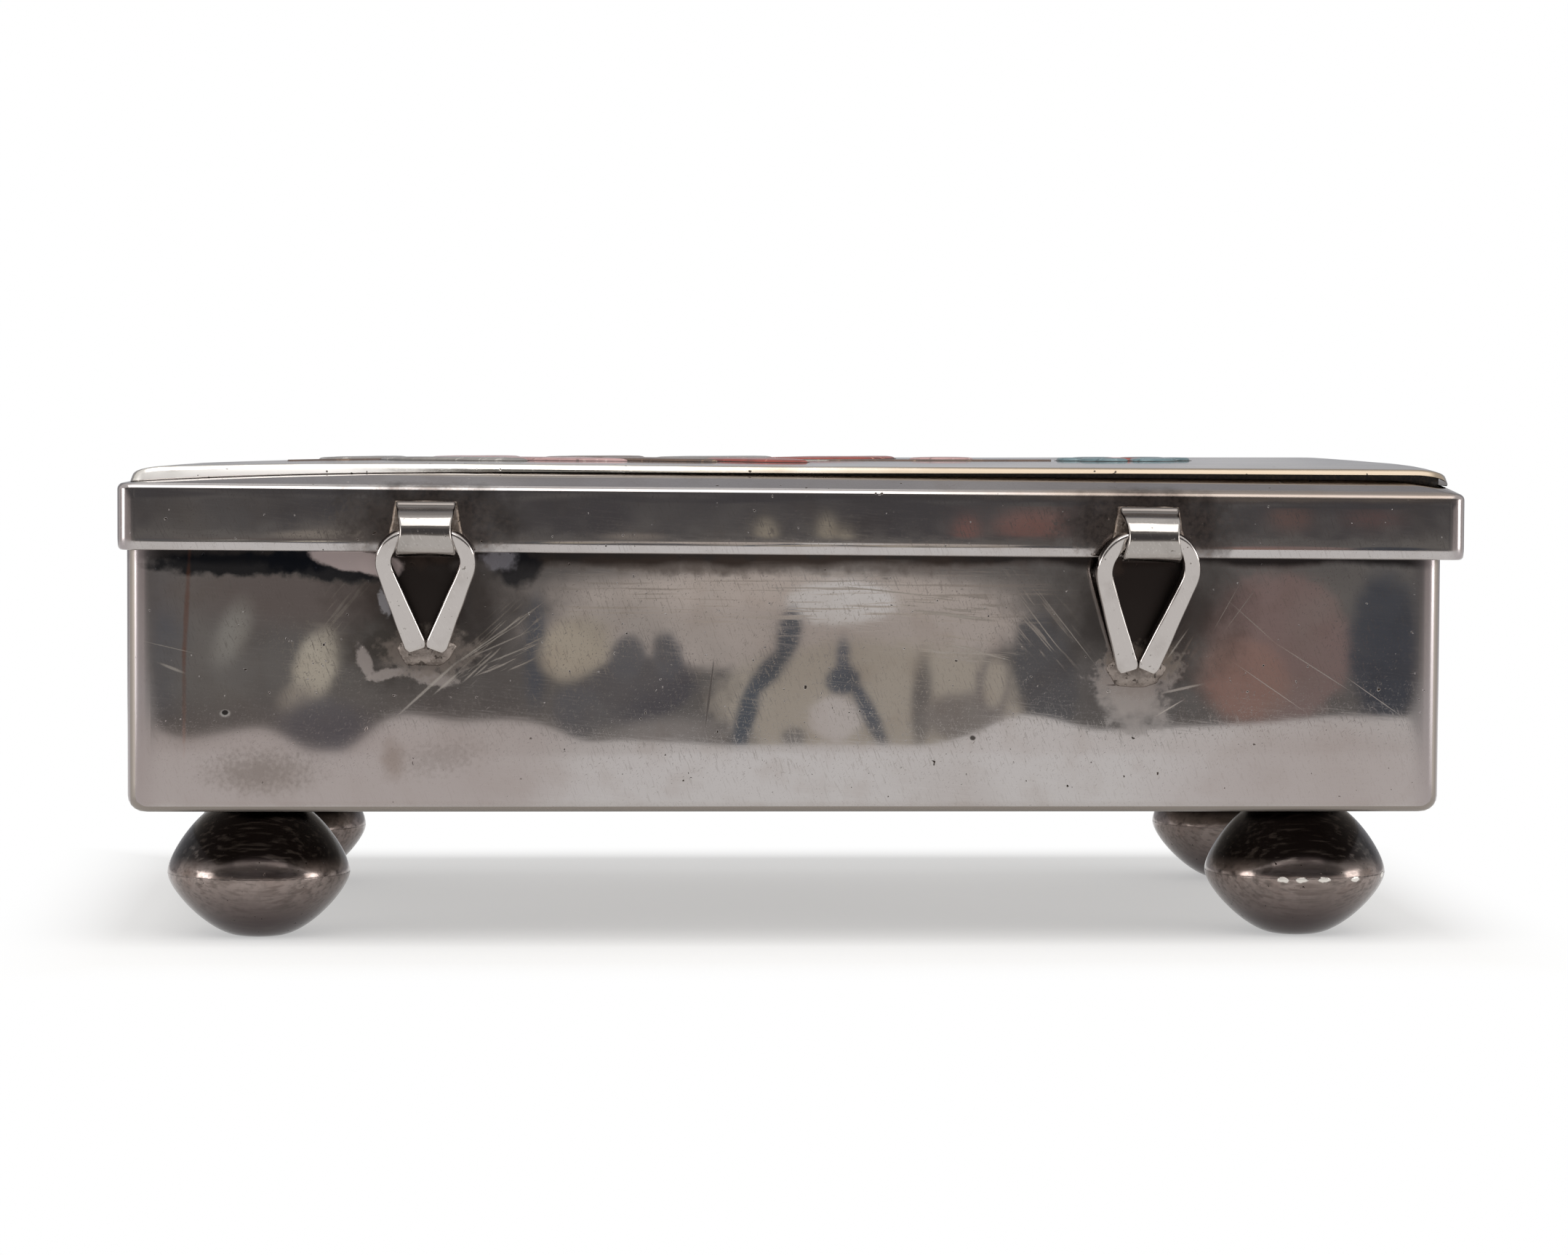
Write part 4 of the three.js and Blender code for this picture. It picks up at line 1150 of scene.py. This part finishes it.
def stem_skin():
    """The stem: a long inlaid strip that sways along the plate, rounded across."""
    x = np.linspace(branch_start - leaf_spacing / 3, blossom_x - BLOSSOM_RADIUS - PETAL_GAP, 90)
    section = squarish(full_turn(20), 1) * (STEM_HALF, STONE_SUNK + STEM_PROUD)
    route = on_plate(np.column_stack((x, stem_y(x))), -STONE_SUNK + STEM_PROUD)
    return sweep(route, [section] * len(x), UP)


build("inlay_stem", stem_skin(), slot_of["inlay_stem"])
for row, sign in (("far", 1), ("near", -1)):
    first = branch_start if sign > 0 else branch_start + leaf_spacing / 2
    for i in range(LEAF_COUNT if sign > 0 else LEAF_COUNT - 1):
        leaf_x = first + i * leaf_spacing
        leaf_y = stem_y(leaf_x) + sign * (STEM_HALF + LEAF_STEM_GAP)
        turn = stem_slope(leaf_x) + sign * LEAF_ANGLE
        set_stone(f"inlay_leaf_{row}_{i + 1}", placed(almond(), leaf_x, leaf_y, turn))
set_stone("inlay_bud", placed(disc(BUD_RADIUS), bud_x, stem_y(bud_x) + BUD_OFFSET, 0))
set_stone("inlay_blossom_eye", placed(disc(EYE_RADIUS), blossom_x, stem_y(blossom_x), 0))
for i in range(PETAL_COUNT):
    turn = i * 2 * math.pi / PETAL_COUNT
    set_stone(f"inlay_petal_{i + 1}", placed(petal(), blossom_x, stem_y(blossom_x), turn))


# Stage: floor, white background, flags that the silver mirrors, and soft lamps

FLOOR_HALF = 4000.0
FLAG_BACK = 330.0                # front flag to the hinged wall
FLAG_HALF = 740.0                # half the flags' width
FLAG_FOOT = 1.0                  # their lower edge above the table
FRONT_FLAG_HEIGHT = 330.0
BACK_FLAG_HEIGHT = 600.0
SIDE_FLAG = (600.0, 130.0, 140.0)    # out from the middle, half width, height
TABLE_CARD_AHEAD = 2.0           # the table's card stands this much nearer to the box than the front flag
SHADOW_WHITE = 0.43              # share of plain white in the paper under the box
SHADOW_RUN = {"X": (74.0, 112.0), "Y": (48.0, 90.0)}    # where it starts and ends to whiten, from the middle
SURROUND_LIGHT = 0.6             # strength of the white surround where it only lights, and is not seen
LAMP_AIM = 40.0                  # height at which the lamps point
LAMPS = {                        # place, size, power in watts
    "lamp_over_front": ((0, -430, 690), (900, 700), 4.5),
    "lamp_left": ((-690, -250, 110), (320, 200), 0.9),
    "lamp_right": ((690, -250, 110), (320, 200), 0.9),
}
# What the hinged wall and the rim mirror: x, z, half width, half height, lean, colour, softness of the edge,
# all as they show on the wall
ROOM_SHAPES = [
    (-330, 45, 205, 60, 0, "#8d8380", 9), (330, 45, 205, 60, 0, "#8d8380", 9),
    (-84.5, 42, 3.0, 9, 0, "#45454a", 2.5), (-64, 47.5, 22, 4.5, 0, "#564e4b", 3.0),
    (-75, 42, 2.0, 4.4, 22, "#74706b", 1.4), (-63.9, 37.8, 2.8, 5.2, 20, "#9a9286", 0.8),
    (-66.6, 33.4, 1.8, 2.6, 45, "#857d74", 1.2), (-63, 29.8, 6.0, 3.8, 0, "#515055", 1.5),
    (-1, 43.5, 34, 6.8, 0, "#968c86", 1.2), (-3, 48.2, 28, 2.6, 0, "#a0958e", 1.5),
    (10, 33, 21, 8.5, 0, "#8f867c", 1.2), (6.0, 46.4, 7.8, 3.1, 0, "#b6aeab", 0.5),
    (-34.7, 40, 1.5, 7.5, 0, "#4a4b50", 0.8), (-29.5, 40.6, 5.0, 4.2, -25, "#948a7d", 1.2),
    (-22.0, 34.4, 9.2, 4.6, -12, "#474447", 0.7), (-22.5, 39.2, 2.3, 3.2, 10, "#4d4c50", 0.6),
    (-17.2, 39.3, 1.9, 3.3, -15, "#4d4c50", 0.6), (-28.8, 32.0, 3.4, 3.9, -50, "#4d4c50", 0.7),
    (-17, 29.0, 8.0, 2.0, 0, "#726c69", 1.4), (-1.0, 42.0, 1.6, 3.8, 10, "#494b50", 0.5),
    (-3.6, 37.0, 1.5, 3.8, 38, "#494b50", 0.5), (-6.5, 31.2, 1.35, 4.8, 12, "#474a50", 0.5),
    (6.3, 38.8, 0.9, 2.8, 0, "#53545a", 0.6), (6.2, 35.8, 2.4, 2.0, -20, "#4b4d53", 0.5),
    (9.7, 31.4, 1.1, 5.2, -27, "#4a4c52", 0.5), (5.2, 30.6, 3.6, 3.0, 0, "#a29a96", 0.6),
    (-0.2, 28.2, 1.7, 1.3, 0, "#6b6663", 0.6), (16.8, 33, 1.35, 6.4, 3, "#615c59", 0.7),
    (22.5, 31.0, 5.8, 3.2, 0, "#6e6763", 1.0), (26.3, 34.8, 2.4, 4.2, 5, "#6a6360", 0.5),
    (26.7, 35.6, 1.5, 3.4, 5, "#8e857b", 0.5), (33.5, 37, 4.2, 8.4, -10, "#4d4b4c", 0.6),
    (65, 40.4, 10.2, 10.4, 0, "#6c5b58", 1.0), (60.5, 36, 6.2, 5.6, 30, "#775f58", 1.6),
    (79.5, 40.5, 5.2, 11, 0, "#3c3d42", 1.2), (0, 113, 400, 60.5, 0, "#3e3b3c", 0.8),
    (-61, 54.2, 8.5, 2.2, -6, "#746c65", 1.0), (-22, 53.8, 4.0, 1.5, 0, "#6e6660", 0.8),
    (-4.3, 55.6, 1.6, 2.3, -10, "#7f766a", 0.6), (3.9, 55.9, 1.4, 2.6, 0, "#7f766a", 0.6),
    (6.4, 54.8, 1.0, 1.8, 0, "#7f766a", 0.6), (22.4, 56.2, 1.8, 2.0, 0, "#684b46", 0.8),
    (31.5, 57.0, 5.4, 2.0, 0, "#6b4c47", 0.8), (66, 58.0, 2.8, 1.5, 0, "#584541", 0.8),
    (77, 58, 4.0, 1.0, 0, "#544341", 0.8),
]
# The edge of the white table as the dented wall mirrors it: x and z where it shows on the wall
TABLE_EDGE = [
    (-480, 30), (-90, 32), (-84, 28.6), (-81, 27.8), (-72, 29.6), (-69.4, 29.4), (-66.4, 27), (-63.9, 26.2),
    (-60.5, 26.4), (-58, 28), (-55.9, 30.6), (-52, 32), (-45, 30.9), (-38, 31.4), (-33, 30.5), (-28, 28),
    (-24, 28.4), (-8, 27.3), (18, 27.3), (24, 29), (29, 31.6), (33, 31.4), (40, 29.5), (49, 29.8), (61, 30.2),
    (73, 31.3), (85, 31), (480, 30),
]

front_y = wall_face - FLAG_BACK
stretch = FLAG_BACK / (CAMERA_BACK + wall_face - rim_face)    # how much wider the mirrored view gets there


def stage_plane(name, corners, look):
    """A flat card or floor from its corners, in mm."""
    mesh = bpy.data.meshes.new(name)
    mesh.from_pydata([tuple(c * MM for c in corner) for corner in corners], [], [range(len(corners))])
    mesh.materials.append(look)
    plane = bpy.data.objects.new(name, mesh)
    bpy.context.scene.collection.objects.link(plane)
    return plane


def only_mirrored(card):
    """The card shows in polished metal and nowhere else, so it neither shades nor lights anything."""
    for rays in ("camera", "diffuse", "transmission", "volume_scatter", "shadow"):
        setattr(card, "visible_" + rays, False)


def glowing(name, layout):
    """Cloth at an even brightness. The layout takes the tree and the place in mm, and gives the colour."""
    material, tree, place = start(name)
    glow = add(tree, "ShaderNodeEmission", {"Color": layout(tree, place)})
    add(tree, "ShaderNodeOutputMaterial", {"Surface": glow})
    material.cycles.emission_sampling = "NONE"
    return material


def clouded(base, *clouds):
    """A plain cloth with clouds: size, colour and strength of each."""
    return lambda tree, place: layered(tree, base, [
        (patches(tree, place, size, 0.4, 0.65, most), colour) for size, colour, most in clouds
    ])


def behind_silver(colour):
    """The brightness of a thing in the room that shows in the sheet as the given colour."""
    return tuple(min(1.0, seen / silver) for seen, silver in zip(linear(colour), linear(SHEET_SILVER)))


def mirrored_room(tree, place):
    """What the hinged wall and the rim mirror, laid out by where it shows on the wall."""
    on_wall = add(tree, "ShaderNodeMapping", {
        "Vector": place, "Location": (-CAMERA_X * stretch, 0, -CAMERA_HEIGHT * stretch),
        "Scale": [1 + stretch] * 3,
    }, vector_type="TEXTURE")
    layers = []
    for x, z, half_x, half_z, lean, colour, edge in ROOM_SHAPES:
        soft = min(0.9, 0.8 * edge / min(half_x, half_z))
        half = (half_x, EVERYWHERE, half_z)
        mask = spot(tree, on_wall, (x, 0, z), half, math.radians(lean), soft=soft, ragged=0.2, grain=1.4)
        layers.append((mask, behind_silver(colour)))
    layers.append((patches(tree, on_wall, 14, 0.45, 0.75, 0.35), behind_silver("#6e6964")))
    return layered(tree, behind_silver("#55514f"), layers)


def seen_rays(tree):
    """1 where a thing is seen, straight or in a mirror, and 0 where it only lights something."""
    path = tree.nodes.new("ShaderNodeLightPath")
    seen = path.outputs["Is Camera Ray"]
    for ray in ("Is Glossy Ray", "Is Transmission Ray"):
        seen = maths(tree, "MAXIMUM", seen, path.outputs[ray])
    return seen


def studio_floor():
    """Matt white paper: it keeps the shadow under the box and runs out to plain white beside it."""
    material, tree, place = start("matt_white_paper")
    quarter = folded(tree, place, 0.0)
    far = SHADOW_WHITE
    for axis, (start_at, end_at) in SHADOW_RUN.items():
        reach = add(tree, "ShaderNodeSeparateXYZ", {0: quarter}, output=axis)
        far = maths(tree, "MAXIMUM", far, ramp(tree, reach, start_at, end_at))
    share = maths(tree, "MULTIPLY", far, seen_rays(tree))
    paper = add(tree, "ShaderNodeBsdfDiffuse", {"Color": linear("#f4f3f1")})
    white = add(tree, "ShaderNodeEmission", {"Color": (1, 1, 1, 1)})
    mixed = add(tree, "ShaderNodeMixShader", {0: share, 1: paper, 2: white})
    add(tree, "ShaderNodeOutputMaterial", {"Surface": mixed})
    material.cycles.emission_sampling = "NONE"
    return material


def upright_flag(name, x, y, half_x, half_y, height, look):
    """A card that stands just clear of the table."""
    left, right = (x - half_x, y - half_y), (x + half_x, y + half_y)
    corners = [(*left, FLAG_FOOT), (*right, FLAG_FOOT), (*right, height), (*left, height)]
    return stage_plane(name, corners, look)


def table_card():
    """A pale card before the front flag, cut along the line on which the wall mirrors the table's edge."""
    x, z = np.array(TABLE_EDGE).T
    steps = np.linspace(x[0], x[-1], 1200)
    line = smoothed(np.column_stack((steps, np.interp(steps, x, z))), 6)
    line += (line - (CAMERA_X, CAMERA_HEIGHT)) * stretch
    card_y = front_y + TABLE_CARD_AHEAD
    corners = [(px, card_y, pz) for px, pz in line]
    corners += [(line[-1][0], card_y, FLAG_FOOT), (line[0][0], card_y, FLAG_FOOT)]
    look = glowing("white_table_paper", clouded("#f8f6f5", (120, "#e2dedc", 0.6)))
    return stage_plane("table_card", corners, look)


floor_corners = [(x * FLOOR_HALF, y * FLOOR_HALF, 0) for x, y in ((-1, -1), (1, -1), (1, 1), (-1, 1))]
stage_plane("paper_floor", floor_corners, studio_floor())
side_out, side_half, side_height = SIDE_FLAG
room_look = glowing("dim_room_cloth", mirrored_room)
grey_look = glowing("grey_room_cloth", clouded("#b4b4b8", (150, "#929296", 0.6), (60, "#c9c7c6", 0.4)))
side_look = glowing("pale_room_cloth", clouded("#d8d3cf", (90, "#b3ada9", 0.7), (40, "#e6e2de", 0.5)))
flags = [
    upright_flag("front_flag", 0, front_y, FLAG_HALF, 0, FRONT_FLAG_HEIGHT, room_look),
    upright_flag("back_flag", 0, wall_high[1] + FLAG_BACK, FLAG_HALF, 0, BACK_FLAG_HEIGHT, grey_look),
    upright_flag("left_flag", -side_out, middle_y, 0, side_half, side_height, side_look),
    upright_flag("right_flag", side_out, middle_y, 0, side_half, side_height, side_look),
    table_card(),
]
for flag in flags:
    only_mirrored(flag)


def soft_lamp(name, place, size, power):
    """A soft rectangular lamp that faces the box."""
    lamp = bpy.data.lights.new(name, "AREA")
    lamp.shape = "RECTANGLE"
    lamp.size, lamp.size_y = size[0] * MM, size[1] * MM
    lamp.energy = power
    holder = bpy.data.objects.new(name, lamp)
    bpy.context.scene.collection.objects.link(holder)
    holder.location = Vector(place) * MM
    aim = Vector((0, middle_y, LAMP_AIM)) * MM - holder.location
    holder.rotation_mode = "QUATERNION"
    holder.rotation_quaternion = aim.to_track_quat("-Z", "Y")


for lamp_name, (place, size, power) in LAMPS.items():
    soft_lamp(lamp_name, place, size, power)

world = bpy.data.worlds.new("white_studio")
bpy.context.scene.world = world
world.use_nodes = True
sky = world.node_tree
sky.nodes.clear()
strength = add(sky, "ShaderNodeMapRange", {"Value": seen_rays(sky), "To Min": SURROUND_LIGHT, "To Max": 1.0})
background = add(sky, "ShaderNodeBackground", {"Color": (1, 1, 1, 1), "Strength": strength})
add(sky, "ShaderNodeOutputWorld", {"Surface": background})

camera = bpy.data.cameras.new("photograph")
camera.sensor_width = SENSOR_WIDTH
camera.lens = FOCAL_PIXELS / IMAGE_WIDTH * SENSOR_WIDTH
camera.clip_start, camera.clip_end = CLIP
viewer = bpy.data.objects.new("photograph", camera)
bpy.context.scene.collection.objects.link(viewer)
viewer.location = Vector((CAMERA_X, rim_face - CAMERA_BACK, CAMERA_HEIGHT)) * MM
yaw = math.radians(CAMERA_YAW)
aim = Vector((math.sin(yaw), math.cos(yaw), -math.tan(math.radians(CAMERA_PITCH))))
viewer.rotation_mode = "QUATERNION"
viewer.rotation_quaternion = aim.to_track_quat("-Z", "Y") @ Quaternion((0, 0, 1), math.radians(CAMERA_ROLL))
bpy.context.scene.camera = viewer
bpy.context.scene.view_settings.view_transform = "Standard"
